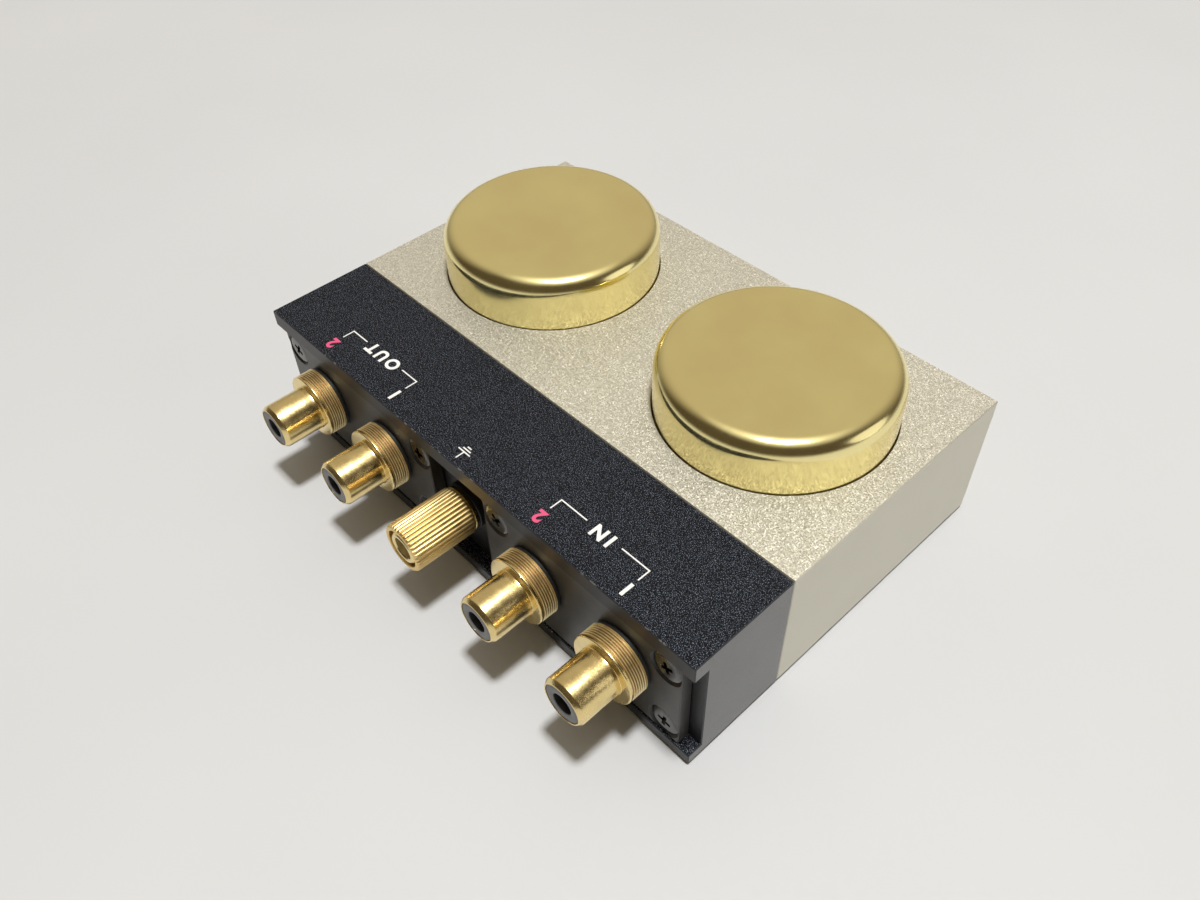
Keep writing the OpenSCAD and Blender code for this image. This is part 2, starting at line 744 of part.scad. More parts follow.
// Insulating washer in front of a plate, with a sleeve that lines the plate's hole
module jack_front_washers() {
    color(black) for (x = jack_xs)
        facing_out(x, y_plate, jack_z) difference() {
            union() {
                cylinder(d = front_washer_d, h = washer_t);
                translate([0, 0, -sleeve_l]) cylinder(r = sleeve_r, h = sleeve_l + eps);
            }
            translate([0, 0, -sleeve_l - eps]) cylinder(r = neck_r + fit_gap, h = sleeve_l + washer_t + 2 * eps);
        }
}

module jack_rear_washers() {
    color(black) for (x = jack_xs)
        facing_out(x, y_plate, jack_z) translate([0, 0, a_washer])
            disc(rear_washer_d, neck_d + 2 * fit_gap, washer_t);
}

// Ring behind the washer, with a tab bent back along the socket below the nut
module jack_solder_lugs() {
    color(steel) for (x = jack_xs)
        facing_out(x, y_plate, jack_z) translate([0, 0, a_lug]) difference() {
            union() {
                cylinder(d = lug_d, h = lug_t);
                translate([-lug_tab_w / 2, -lug_tab_r - lug_t, 0]) cube([lug_tab_w, lug_tab_r + lug_t, lug_t]);
                translate([-lug_tab_w / 2, -lug_tab_r - lug_t, -lug_tab_l])
                    cube([lug_tab_w, lug_t, lug_tab_l + lug_t]);
            }
            translate([0, 0, -eps]) cylinder(r = neck_r + fit_gap, h = lug_t + 2 * eps);
        }
}

module jack_nuts() {
    color(gold) for (x = jack_xs)
        facing_out(x, y_plate, jack_z) translate([0, 0, a_nut]) hex_nut(nut_af, neck_d + 2 * fit_gap, nut_t);
}

// Threaded tube that takes a 4 mm plug in its end, with a shoulder seated in the spacer
module ground_post() {
    r = post_d / 2;
    color(gold) facing_out(0, y_floor, jack_z) difference() {
        union() {
            translate([0, 0, b_post]) cylinder(r = r, h = b_tip - post_chamfer - b_post);
            translate([0, 0, b_tip - post_chamfer]) cylinder(r1 = r, r2 = r - post_chamfer, h = post_chamfer);
            translate([0, 0, spacer_t - shoulder_t]) cylinder(d = shoulder_d, h = shoulder_t);
        }
        translate([0, 0, b_tip - post_bore_l]) cylinder(d = post_bore_d, h = post_bore_l + eps);
    }
}

module ground_spacer() {
    color(black) facing_out(0, y_floor, jack_z) difference() {
        cylinder(d = spacer_d, h = spacer_t);
        translate([0, 0, -eps]) cylinder(d = post_d + 2 * fit_gap, h = spacer_t + 2 * eps);
        translate([0, 0, spacer_t - shoulder_t]) cylinder(d = shoulder_d + 2 * fit_gap, h = shoulder_t + eps);
    }
}

module ground_washer() {
    color(gold) facing_out(0, y_floor, jack_z) translate([0, 0, b_washer])
        disc(knob_washer_d, post_d + 2 * fit_gap, knob_washer_t);
}

// Ridged outline of the knob, with a flat top and a sloped groove in each step
function knob_outline(r) = [for (i = [0:knob_ridges - 1], p = [[0, 0], [0.45, 0], [0.7, 1], [0.75, 1]])
    let (turn = 360 * (i + p[0]) / knob_ridges, reach = r - p[1] * knob_groove)
    [reach * cos(turn), reach * sin(turn)]];

module ground_knob() {
    bevel_r = knob_r + knob_bevel;
    color(gold) facing_out(0, y_floor, jack_z) translate([0, 0, b_knob]) difference() {
        intersection() {
            linear_extrude(knob_l) polygon(knob_outline(knob_r));
            rotate_extrude() polygon([[0, 0], [knob_r - knob_bevel, 0], [bevel_r, 2 * knob_bevel],
                [bevel_r, knob_l - 2 * knob_bevel], [knob_r - knob_bevel, knob_l], [0, knob_l]]);
        }
        translate([0, 0, -eps]) cylinder(d = post_d + 2 * fit_gap, h = knob_l + 2 * eps);
        translate([0, 0, knob_l - knob_recess_l]) cylinder(d = knob_recess_d, h = knob_recess_l + eps);
    }
}

// Ring under the ground nut, with a tab bent back above the nut
module ground_tag() {
    color(steel) facing_out(0, y_floor, jack_z) translate([0, 0, b_tag]) difference() {
        union() {
            cylinder(d = tag_d, h = tag_t);
            translate([-lug_tab_w / 2, 0, 0]) cube([lug_tab_w, tag_tab_r + tag_t, tag_t]);
            translate([-lug_tab_w / 2, tag_tab_r, -tag_tab_l]) cube([lug_tab_w, tag_t, tag_tab_l + tag_t]);
        }
        translate([0, 0, -eps]) cylinder(d = post_d + 2 * fit_gap, h = tag_t + 2 * eps);
    }
}

module ground_nut() {
    color(gold) facing_out(0, y_floor, jack_z) translate([0, 0, b_nut])
        hex_nut(ground_nut_af, post_d + 2 * fit_gap, ground_nut_t);
}

// Direction of a route at one of its points
function unit(v) = v / norm(v);
function heading(p, i) =
    i == 0 ? unit(p[1] - p[0]) :
    i == len(p) - 1 ? unit(p[i] - p[i - 1]) :
    unit(unit(p[i + 1] - p[i]) + unit(p[i] - p[i - 1]));

// Sideways direction carried along the route without twisting
function sideways(p, i, u) =
    let (t = heading(p, i), v = unit(u - t * (u * t)))
    i == len(p) - 1 ? [v] : concat([v], sideways(p, i + 1, v));

// Round lead along a route
module lead(p, start_side) {
    n = lead_sides;
    sides = sideways(p, 0, start_side);
    points = [for (i = [0:len(p) - 1], k = [0:n - 1])
        let (u = sides[i], w = cross(heading(p, i), u))
        p[i] + lead_r * (cos(360 * k / n) * u + sin(360 * k / n) * w)];
    walls = [for (i = [0:len(p) - 2], k = [0:n - 1], half = [0, 1])
        let (a = i * n + k, b = i * n + (k + 1) % n)
        half == 0 ? [a, a + n, b] : [b, a + n, b + n]];
    caps = [for (k = [1:n - 2], end = [0, 1])
        let (last = (len(p) - 1) * n)
        end == 0 ? [0, k, k + 1] : [last, last + k + 1, last + k]];
    polyhedron(points, concat(walls, caps));
}

// Where a lead leaves a pin: down from its end, then along the slot to the cavity
function from_pin(x, y_end) = [
    [x, y_pin, z_ring - board_t - pin_below],
    [x, y_pin, z_lead + lead_d],
    [x, y_pin - lead_d, z_lead],
    [x, y_end + lead_d, z_lead]];

// Ends of a lead at a socket: the hot wire on its tail and the return wire on its lug
function to_tail(x, y) = [[x, y - lead_d, jack_z], [x, y_tail, jack_z]];
function to_lug(x, y) = [[x, y - lead_d, z_lug], [x, y_lug, z_lug]];

// Short leads, from a can to the socket on its own side
module near_leads(side, jack_x) {
    middle = side * can_x;
    hot_x = middle + side * 1.5 * pin_pitch;
    return_x = middle + side * 0.5 * pin_pitch;
    hot_y = near_y;
    lug_y = y_lug + 2 * lead_d;
    color([0.75, 0.1, 0.1]) lead(concat(from_pin(hot_x, hot_y),
        [[hot_x, hot_y, z_lead + lead_d], [jack_x, hot_y, jack_z - 2 * lead_d], [jack_x, hot_y, jack_z - lead_d]],
        to_tail(jack_x, hot_y)), [1, 0, 0]);
    color([0.85, 0.85, 0.8]) lead(concat(from_pin(return_x, near_y),
        [[return_x + side * lead_d, near_y - lead_d, z_lead + lead_r], [jack_x - side * lead_d, lug_y, z_lug - lead_r]],
        to_lug(jack_x, lug_y)), [1, 0, 0]);
}

// Leads that cross the cavity along a lane, from a can to a socket on the other side
module far_leads(side, jack_x, lane) {
    middle = side * can_x;
    hot_x = middle - side * 0.5 * pin_pitch;
    return_x = middle - side * 1.5 * pin_pitch;
    color([0.75, 0.1, 0.1]) lead(concat(from_pin(hot_x, lane[0]),
        [[hot_x, lane[0], z_lead + lead_d], [hot_x, lane[0], lane[1] - lead_d],
            [hot_x - side * lead_d, lane[0], lane[1]], [jack_x + side * lead_d, lane[0], lane[1]],
            [jack_x, lane[0], lane[1] + lead_d], [jack_x, lane[0], jack_z - lead_d]],
        to_tail(jack_x, lane[0])), [1, 0, 0]);
    color([0.85, 0.85, 0.8]) lead(concat(from_pin(return_x, lane[0]),
        [[return_x, lane[0], z_lead + lead_d], [return_x, lane[0], lane[2] - lead_d],
            [return_x - side * lead_d, lane[0], lane[2]], [jack_x + side * 2 * lead_d, lane[0], lane[2]],
            [jack_x, lane[0] - lead_d / 2, (lane[2] + z_lug) / 2]],
        to_lug(jack_x, lane[0] - lead_d)), [1, 0, 0]);
}

// Lead from the ground tag to the screw that joins the housings
module ground_lead() {
    tag_y = y_floor - b_tag + tag_tab_l;
    tag_z = jack_z + tag_tab_r + tag_t / 2;
    screw_y = y_wall - pan_h;
    screw_z = join_screw_z + (cross_l + lead_d) / 2;
    color([0.1, 0.45, 0.15]) lead([[0, tag_y, tag_z], [0, (2 * tag_y + screw_y) / 3, tag_z],
        [0, (tag_y + 2 * screw_y) / 3, screw_z], [0, screw_y, screw_z]], [1, 0, 0]);
}

transformer_housing();
terminal_housing();
transformer_cover();
terminal_cover();
pad(y_joint, y_back);  // transformer_pad
pad(y_lip, y_joint);  // terminal_pad
transformer_cover_screws();
terminal_cover_screws();
housing_screws();
can(left);  // left_can
can(right);  // right_can
clamp_ring(left);  // left_clamp_ring
clamp_ring(right);  // right_clamp_ring
terminal_board(left);  // left_terminal_board
terminal_board(right);  // right_terminal_board
terminal_pins();
core(left);  // left_core
core(right);  // right_core
core_strap(left);  // left_core_strap
core_strap(right);  // right_core_strap
bobbin(left);  // left_bobbin
bobbin(right);  // right_bobbin
winding(left, 0);  // left_primary_winding
winding(right, 0);  // right_primary_winding
winding(left, 1);  // left_secondary_winding
winding(right, 1);  // right_secondary_winding
foam_disc(left);  // left_foam_disc
foam_disc(right);  // right_foam_disc
jack_plate(left);  // output_plate
jack_plate(right);  // input_plate
jack_plate_screws();
jack_shell(output_right_x);  // output_right_shell
jack_shell(output_left_x);  // output_left_shell
jack_shell(input_right_x);  // input_right_shell
jack_shell(input_left_x);  // input_left_shell
jack_insulator(output_right_x);  // output_right_insulator
jack_insulator(output_left_x);  // output_left_insulator
jack_insulator(input_right_x);  // input_right_insulator
jack_insulator(input_left_x);  // input_left_insulator
jack_contact(output_right_x);  // output_right_contact
jack_contact(output_left_x);  // output_left_contact
jack_contact(input_right_x);  // input_right_contact
jack_contact(input_left_x);  // input_left_contact
jack_front_washers();
jack_rear_washers();
jack_solder_lugs();
jack_nuts();
ground_post();
ground_spacer();
ground_washer();
ground_knob();
ground_tag();
ground_nut();
ground_lead();
far_leads(left, input_right_x, left_lane);  // left_input_leads
near_leads(left, output_right_x);  // left_output_leads
near_leads(right, input_left_x);  // right_input_leads
far_leads(right, output_left_x, right_lane);  // right_output_leads
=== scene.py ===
import math

import bmesh
import bpy
from bpy.props import FloatProperty, FloatVectorProperty, IntProperty, PointerProperty
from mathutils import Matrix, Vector


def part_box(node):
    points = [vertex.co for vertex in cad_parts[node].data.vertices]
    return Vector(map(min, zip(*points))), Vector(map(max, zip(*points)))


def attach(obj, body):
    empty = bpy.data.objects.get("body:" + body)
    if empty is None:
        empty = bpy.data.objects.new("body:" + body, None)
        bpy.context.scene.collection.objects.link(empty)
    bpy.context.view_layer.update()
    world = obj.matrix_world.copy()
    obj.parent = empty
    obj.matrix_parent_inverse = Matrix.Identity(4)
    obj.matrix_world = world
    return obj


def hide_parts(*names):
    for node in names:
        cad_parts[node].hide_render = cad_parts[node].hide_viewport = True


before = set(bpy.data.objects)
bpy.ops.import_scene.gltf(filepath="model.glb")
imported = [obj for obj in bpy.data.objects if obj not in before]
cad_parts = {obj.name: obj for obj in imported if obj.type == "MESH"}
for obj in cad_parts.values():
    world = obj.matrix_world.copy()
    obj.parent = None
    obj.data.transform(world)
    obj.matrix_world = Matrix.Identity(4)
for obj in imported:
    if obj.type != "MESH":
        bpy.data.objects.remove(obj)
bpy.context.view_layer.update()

bl_info = {
    "name": "Step-up transformer dressing",
    "version": (1, 0, 0),
    "blender": (4, 5, 0),
    "location": "3D View > Sidebar > Transformer",
    "description": "Models the outside of a step-up transformer round its CAD frame "
                   "and finishes the inside",
    "category": "Object",
}

# Places from the CAD frame
PLACES = {name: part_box(name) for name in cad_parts}
MM = 0.001
SIDES = ("left", "right")
PLATES = ("output", "input")
SOCKETS = ("output_right", "output_left", "input_right", "input_left")


def low(node):
    """Lowest corner of a CAD node."""
    return PLACES[node][0]


def high(node):
    """Highest corner of a CAD node."""
    return PLACES[node][1]


def middle(node):
    """Middle of a CAD node's box."""
    return (low(node) + high(node)) / 2


DECK_Z = high("transformer_housing").z
JOINT_Y = low("transformer_housing").y
PLATE_Y = low("input_plate").y
GROOVE_Y = high("input_plate").y
SOCKET_Z = middle("input_left_shell").z
COVER_TOP = high("transformer_cover").z
RING_TOP = high("left_clamp_ring").z

# Walls and openings of the housings that the frame's boxes don't give
WALL_Y = JOINT_Y - 3 * MM
CAVITY_Y = GROOVE_Y + 5 * MM
END_WALL = 8.5 * MM
SLOT_HALF = 12.1 * MM
SLOT_H = 3.4 * MM
SLOT_REACH = 13.5 * MM
WELL_R = 8 * MM
POST_R = 3 * MM
SOCKET_HOLE_R = 5.15 * MM
SCREW_R = 1.5 * MM
JOIN_HEAD_R = 2.75 * MM
JOIN_DEPTH = 9.5 * MM
PLATE_TAP_DEPTH = 7 * MM
COVER_TAP_TOP = 6.5 * MM
COVER_SCREW_INSET = 4 * MM
COVER_LEDGE = 2.5 * MM
PLATE_SCREW_INSET = (3 * MM, 2.85 * MM)
CAN_FLANGE = 2.2 * MM
PAD_EDGE = 0.1 * MM

# Gaps between pieces, and how far a cutter stands out of what it cuts
FIT = 0.05 * MM
PLATE_GAP = 0.15 * MM
COVER_GAP = 0.15 * MM
SEAT_GAP = 0.15 * MM
PAST = MM

# Steps round the turned pieces and holes
HOLE_STEPS = 48
SCREW_STEPS = 64
WELL_STEPS = 72
SOCKET_STEPS = 96
BORE_STEPS = 160
CAN_STEPS = 192

MERGE = 1e-6
SMOOTH = math.radians(35)
SQUARE_EDGE = math.radians(80)
SQUARE = 0.9
BROKEN = (0.3, 0.95)


def length(name, description, default, least, most):
    """A length that a user can change, given in millimetres."""
    return FloatProperty(
        name=name, description=description, default=default * MM, min=least * MM, max=most * MM,
        unit="LENGTH", precision=6)


def colour(name, description, value):
    """A colour that a user can change."""
    return FloatVectorProperty(
        name=name, description=description, default=value, subtype="COLOR", size=3, min=0, max=1)


class TransformerSizes(bpy.types.PropertyGroup):
    """Sizes of the dressed pieces."""

    housing_edge: length(
        "Housing edge", "Width of the broken edges round both housings", 0.16, 0.02, 0.5)
    bore_edge: length(
        "Bore edge", "Width of the broken edge round each can's opening in the deck",
        0.06, 0.02, 0.25)
    can_wall: length("Can wall", "Thickness of a can's sheet", 0.8, 0.5, 1.5)
    can_edge: length("Can edge", "Radius of the rounded edge round a can's top", 3.0, 1.5, 5)
    can_gap: length("Can gap", "Gap round a can in the deck", 0.18, 0.1, 0.5)
    plate_edge: length("Plate edge", "Width of the broken edges round a jack plate", 0.2, 0.05, 0.5)
    collar_ridges: IntProperty(
        name="Collar ridges", description="Number of thread ridges on a socket's collar",
        default=6, min=3, max=6)
    collar_groove: length(
        "Collar groove", "Depth of the thread on a socket's collar", 0.28, 0.05, 0.3)
    knob_ridges: IntProperty(
        name="Knob ridges", description="Number of ridges round the ground knob",
        default=36, min=24, max=40)
    knob_groove: length(
        "Knob groove", "Depth of the grooves round the ground knob", 0.25, 0.1, 0.35)
    mark_height: length("Mark height", "Height of the letters printed on the deck", 2.3, 1, 4)
    mark_line: length("Mark line", "Width of the lines printed on the deck", 0.24, 0.1, 0.6)
    ink: length("Ink", "Thickness of the printed marks", 0.02, 0.005, 0.1)
    grain: length(
        "Blast grain", "Size of the grain that blasting leaves on the housings", 0.16, 0.05, 1)


class TransformerColours(bpy.types.PropertyGroup):
    """Colours of the finishes."""

    champagne: colour("Champagne", "Anodised transformer housing", (0.64, 0.617, 0.53))
    black: colour("Black", "Anodised terminal housing", (0.006, 0.0063, 0.0075))
    plate: colour("Plate", "Satin jack plates", (0.05, 0.048, 0.045))
    can_gold: colour("Can gold", "Polished cans", (1.0, 0.865, 0.425))
    socket_gold: colour("Socket gold", "Plated sockets and ground terminal", (0.88, 0.70, 0.33))
    # Lighter than the socket gold: painted highlight on the collar's ridges and painted light in
    # the post's bore.
    thread_gold: colour("Thread gold", "Thin plate on the socket collars", (1.0, 0.83, 0.49))
    knob_gold: colour("Knob gold", "Satin plate on the ground knob", (0.84, 0.63, 0.28))
    insulator: colour("Insulator", "Grey plastic in the sockets", (0.16, 0.165, 0.17))
    screw: colour("Screw", "Blackened screws", (0.095, 0.095, 0.093))
    white_ink: colour("White ink", "Printed marks", (0.85, 0.85, 0.84))
    pink_ink: colour("Pink ink", "Printed marks of the second channel", (0.75, 0.09, 0.22))
    rubber: colour("Rubber", "Pads under the housings", (0.02, 0.02, 0.02))
    floor: colour("Floor", "Pale surface that the transformer stands on", (0.615, 0.625, 0.64))


def sizes():
    """The sizes that are set now."""
    return bpy.context.scene.transformer_sizes


def tone(name):
    """One of the colours that are set now."""
    return tuple(getattr(bpy.context.scene.transformer_colours, name))


# Modelling by hand: start, shape and finish


def deselect_all():
    """Back to object mode with nothing selected."""
    if bpy.context.object and bpy.context.object.mode != "OBJECT":
        bpy.ops.object.mode_set(mode="OBJECT")
    bpy.ops.object.select_all(action="DESELECT")


def pick(piece):
    """Selects one piece alone and makes it active."""
    deselect_all()
    piece.select_set(True)
    bpy.context.view_layer.objects.active = piece
    return piece


def named(name):
    """Names the piece just made."""
    piece = bpy.context.object
    piece.name = piece.data.name = name
    return piece


def apply_place():
    """Puts the active piece's place, turn and scale into its mesh."""
    bpy.ops.object.transform_apply(location=True, rotation=True, scale=True)


def select_where(piece, kind, wanted):
    """Opens a piece in edit mode with only those parts of a kind selected that the test accepts."""
    pick(piece)
    bpy.ops.object.mode_set(mode="EDIT")
    bpy.ops.mesh.select_mode(type=kind)
    bpy.ops.mesh.select_all(action="DESELECT")
    mesh = bmesh.from_edit_mesh(piece.data)
    for part in {"VERT": mesh.verts, "EDGE": mesh.edges, "FACE": mesh.faces}[kind]:
        part.select_set(wanted(part))
    mesh.select_flush_mode()
    bmesh.update_edit_mesh(piece.data)


def close_up():
    """Merges what is double in the open mesh, drops what is loose and turns its faces outwards."""
    bpy.ops.mesh.select_all(action="SELECT")
    bpy.ops.mesh.remove_doubles(threshold=MERGE)
    bpy.ops.mesh.delete_loose(use_verts=True, use_edges=True, use_faces=False)
    bpy.ops.mesh.select_all(action="SELECT")
    bpy.ops.mesh.normals_make_consistent(inside=False)
    bpy.ops.object.mode_set(mode="OBJECT")


def block(name, corner, far_corner):
    """A block between two corners."""
    deselect_all()
    corner, far_corner = Vector(corner), Vector(far_corner)
    bpy.ops.mesh.primitive_cube_add(
        size=1, location=(corner + far_corner) / 2, scale=far_corner - corner)
    apply_place()
    return named(name)


def rod(name, radius, start, end, steps=HOLE_STEPS):
    """A round bar between two points on a line along Y or Z."""
    deselect_all()
    start, end = Vector(start), Vector(end)
    along = end - start
    bpy.ops.mesh.primitive_cone_add(
        vertices=steps, radius1=radius, radius2=radius, depth=along.length,
        location=(start + end) / 2, rotation=along.to_track_quat("Z", "Y").to_euler())
    apply_place()
    return named(name)


def hole(radius, x, z, y_start, y_end, steps=HOLE_STEPS):
    """Cutter for a round hole that runs in from the connector side."""
    return rod("hole", radius, (x, y_start, z), (x, y_end, z), steps)


def turned(name, profile, centre, axis, steps):
    """A turned piece: a closed profile drawn point by point, then spun about its axis."""
    points = [Vector(point) for point in profile]
    points.append(points[0])
    deselect_all()
    bpy.ops.mesh.primitive_plane_add(size=MM, location=(0, 0, 0))
    piece = named(name)
    bpy.ops.object.mode_set(mode="EDIT")
    bpy.ops.mesh.select_mode(type="VERT")
    bpy.ops.mesh.select_all(action="SELECT")
    bpy.ops.mesh.merge(type="CENTER")
    bpy.ops.transform.translate(value=points[0])
    for here, there in zip(points, points[1:]):
        bpy.ops.mesh.extrude_region_move(TRANSFORM_OT_translate={"value": there - here})
    bpy.ops.mesh.select_all(action="SELECT")
    bpy.ops.mesh.spin(steps=steps, angle=2 * math.pi, center=centre, axis=axis)
    close_up()
    return piece


def turned_out(name, place, profile, steps=SOCKET_STEPS):
    """A turned piece that faces out of the connector side, from (radius, reach) in mm."""
    x, y, z = place
    points = [(x + radius * MM, y - reach * MM, z) for radius, reach in profile]
    return turned(name, points, place, (0, 1, 0), steps)


def turned_up(name, place, profile, steps):
    """A turned piece that stands upright, from (radius, height) in mm."""
    points = [(place.x + radius * MM, place.y, height * MM) for radius, height in profile]
    return turned(name, points, place, (0, 0, 1), steps)


def arc(centre_r, centre_h, radius, start, end, count):
    """Points along an arc of a profile, in mm and degrees."""
    turns = [math.radians(start + (end - start) * i / count) for i in range(count + 1)]
    return [(centre_r + radius * math.cos(t), centre_h + radius * math.sin(t)) for t in turns]


def combine(piece, others, operation="DIFFERENCE"):
    """Cuts the other pieces out of a piece, or welds them to it, and removes them."""
    for other in others:
        pick(piece)
        step = piece.modifiers.new("combine", "BOOLEAN")
        step.operation = operation
        step.solver = "EXACT"
        step.object = other
        bpy.ops.object.modifier_apply(modifier=step.name)
        bpy.data.objects.remove(other)
    return piece


def break_edges(piece, width):
    """Chamfers the square edges that stand out of a solid."""
    select_where(piece, "EDGE", outer_corner)
    bpy.ops.mesh.bevel(
        offset=width, offset_type="OFFSET", segments=1, affect="EDGES", clamp_overlap=False)
    bpy.ops.object.mode_set(mode="OBJECT")
    return piece


def outer_corner(edge):
    """True for a square edge that stands out of its solid."""
    return len(edge.link_faces) == 2 and edge.is_convex and edge.calc_face_angle(0) > SQUARE_EDGE


def cut_end(face):
    """True for a face at either end of a housing."""
    return abs(face.normal.x) > SQUARE


def broken_edge(face):
    """True for a face that slopes as the broken edges round a deck do."""
    return BROKEN[0] < face.normal.z < BROKEN[1]


def from_axis(point, x, z):
    """How far a point lies from an axis along Y."""
    return math.hypot(point.x - x, point.z - z)


def copied(piece, name, shift, turn=0.0):
    """A copy of a piece with its own mesh, turned about its own axis along Y and moved."""
    pick(piece)
    bpy.ops.object.duplicate(linked=False)
    copy = named(name)
    if turn:
        bpy.ops.object.mode_set(mode="EDIT")
        bpy.ops.mesh.select_all(action="SELECT")
        points = [vertex.co for vertex in bmesh.from_edit_mesh(copy.data).verts]
        centre = [(min(p[i] for p in points) + max(p[i] for p in points)) / 2 for i in range(3)]
        bpy.ops.transform.rotate(value=turn, orient_axis="Y", center_override=centre)
        bpy.ops.object.mode_set(mode="OBJECT")
    bpy.ops.transform.translate(value=shift)
    apply_place()
    return copy


def done(piece, look, body, slot, *nodes):
    """Shades a finished piece, gives it its finish and sets it on its body."""
    pick(piece)
    bpy.ops.object.shade_smooth_by_angle(angle=SMOOTH)
    piece.data.materials.clear()
    piece.data.materials.append(look)
    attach(piece, body)
    if nodes:
        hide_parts(*nodes)
    return piece


def face_finish(piece, look, wanted):
    """Gives the faces that the test accepts a finish of their own."""
    piece.data.materials.append(look)
    piece.active_material_index = len(piece.data.materials) - 1
    select_where(piece, "FACE", wanted)
    bpy.ops.object.material_slot_assign()
    bpy.ops.object.mode_set(mode="OBJECT")


# Finishes from nodes

MOST = (0.3, 0.7)
MIX_FACTOR, MIX_FIRST, MIX_SECOND, MIX_RESULT = 0, 6, 7, 2


class NodeTree:
    """The nodes of a finish or of the room, added and linked one by one."""

    def __init__(self, owner, coordinates):
        owner.use_nodes = True
        self.nodes = owner.node_tree.nodes
        self.links = owner.node_tree.links
        self.place = self.add("TexCoord", coordinates)

    def add(self, kind, output, inputs=None, **settings):
        """Adds a node, feeds its inputs with links or values, and gives one of its outputs."""
        node = self.nodes.new("ShaderNode" + kind)
        for name, value in settings.items():
            setattr(node, name, value)
        for key, value in (inputs or {}).items():
            socket = node.inputs[key]
            if isinstance(value, bpy.types.NodeSocket):
                self.links.new(value, socket)
            elif value is not None:
                socket.default_value = (*value, 1) if socket.type == "RGBA" else value
        return node.outputs[output]

    def stretched(self, scale, turn=(0, 0, 0)):
        """Coordinates stretched along the axes, for marks that run one way."""
        return self.add(
            "Mapping", "Vector", {"Vector": self.place, "Scale": scale, "Rotation": turn})

    def noise(self, scale, detail=2.0, roughness=0.5, place=None):
        """Soft noise with this many patches in a metre."""
        return self.add("TexNoise", "Fac", {
            "Vector": place or self.place, "Scale": scale, "Detail": detail,
            "Roughness": roughness})

    def cells(self, scale, output="Distance"):
        """Round cells with this many in a metre."""
        return self.add("TexVoronoi", output, {"Vector": self.place, "Scale": scale})

    def ramp(self, factor, *stops):
        """Colours or greys along a factor, from (position, colour or grey) stops."""
        node = self.nodes.new("ShaderNodeValToRGB")
        elements = node.color_ramp.elements
        while len(elements) < len(stops):
            elements.new(0.5)
        for element, (position, shade) in zip(elements, stops):
            element.position = position
            element.color = (*shade, 1) if isinstance(shade, tuple) else (shade, shade, shade, 1)
        self.links.new(factor, node.inputs["Fac"])
        return node.outputs["Color"]

    def span(self, factor, low_value, high_value, start=0.0, end=1.0, curve="LINEAR"):
        """A factor, from its start to its end, spread between two values."""
        return self.add("MapRange", "Result", {
            "Value": factor, "From Min": start, "From Max": end,
            "To Min": low_value, "To Max": high_value}, interpolation_type=curve)

    def reckon(self, operation, first, second):
        """One sum on two factors or numbers."""
        return self.add("Math", "Value", {0: first, 1: second}, operation=operation)

    def vector(self, operation, output, *values):
        """One sum on vectors."""
        return self.add("VectorMath", output, dict(enumerate(values)), operation=operation)

    def along(self, axis):
        """How far a point lies along X, Y or Z."""
        return self.add("SeparateXYZ", axis, {"Vector": self.place})

    def mix(self, factor, first, second, blend="MIX"):
        """Two colours mixed by a factor."""
        return self.add(
            "Mix", MIX_RESULT, {MIX_FACTOR: factor, MIX_FIRST: first, MIX_SECOND: second},
            data_type="RGBA", blend_type=blend)

    def facets(self, scale, tilt):
        """Small facets that each lean their own way, with this many in a metre."""
        lean = self.vector(
            "MULTIPLY_ADD", "Vector", self.cells(scale, "Color"), [tilt] * 3, [-tilt / 2] * 3)
        total = self.vector("ADD", "Vector", lean, self.add("NewGeometry", "Normal"))
        return self.vector("NORMALIZE", "Vector", total)

    def bump(self, height, distance, strength, under=None):
        """Raises the surface by a factor times a distance in mm."""
        return self.add("Bump", "Normal", {
            "Height": height, "Distance": distance * MM, "Strength": strength, "Normal": under})


class Finish(NodeTree):
    """A node material that is built step by step on Object coordinates."""

    def __init__(self, name, base, metallic=0.0):
        self.material = bpy.data.materials.new(name)
        super().__init__(self.material, "Object")
        self.base = base
        self.shader = self.nodes["Principled BSDF"]
        self.even("Base Color", (*base, 1))
        self.even("Metallic", metallic)
        self.material.diffuse_color = (*base, 1)

    def even(self, socket, value):
        """Sets one of the shader's sockets to the same value all over."""
        self.shader.inputs[socket].default_value = value

    def to(self, socket, value):
        """Links an output to one of the shader's sockets."""
        self.links.new(value, self.shader.inputs[socket])

    def mottled(self, cloud, tints, sheen, bump, grain=None, worn=False):
        """Colour that drifts in clouds, with a sheen and a bump from the grain, if it has one.

        Cloud and grain are noises, tints are (position, gain or colour) stops, sheen is the
        least and the most roughness, which follows the clouds on a worn finish, and bump is a
        distance in mm and a strength."""
        clouds = self.noise(*cloud)
        grains = self.noise(*grain) if grain else clouds
        stops = [(position, gain if isinstance(gain, tuple) else tint(self.base, gain))
                 for position, gain in tints]
        self.to("Base Color", self.ramp(clouds, *stops))
        self.to("Roughness", self.span(clouds if worn else grains, *sheen, *MOST))
        self.to("Normal", self.bump(grains, *bump))
        return self.material


FINISHES = {}


def finish(name, build, *details):
    """A finish by name, built the first time it is asked for."""
    if name not in FINISHES:
        FINISHES[name] = build(name, *details)
    return FINISHES[name]


def tint(base, gain):
    """A colour made darker or lighter."""
    return tuple(min(1.0, part * gain) for part in base)


def blasted():
    """Noise of the grain that blasting leaves on the housings."""
    return 1 / sizes().grain, 2.0, 0.6


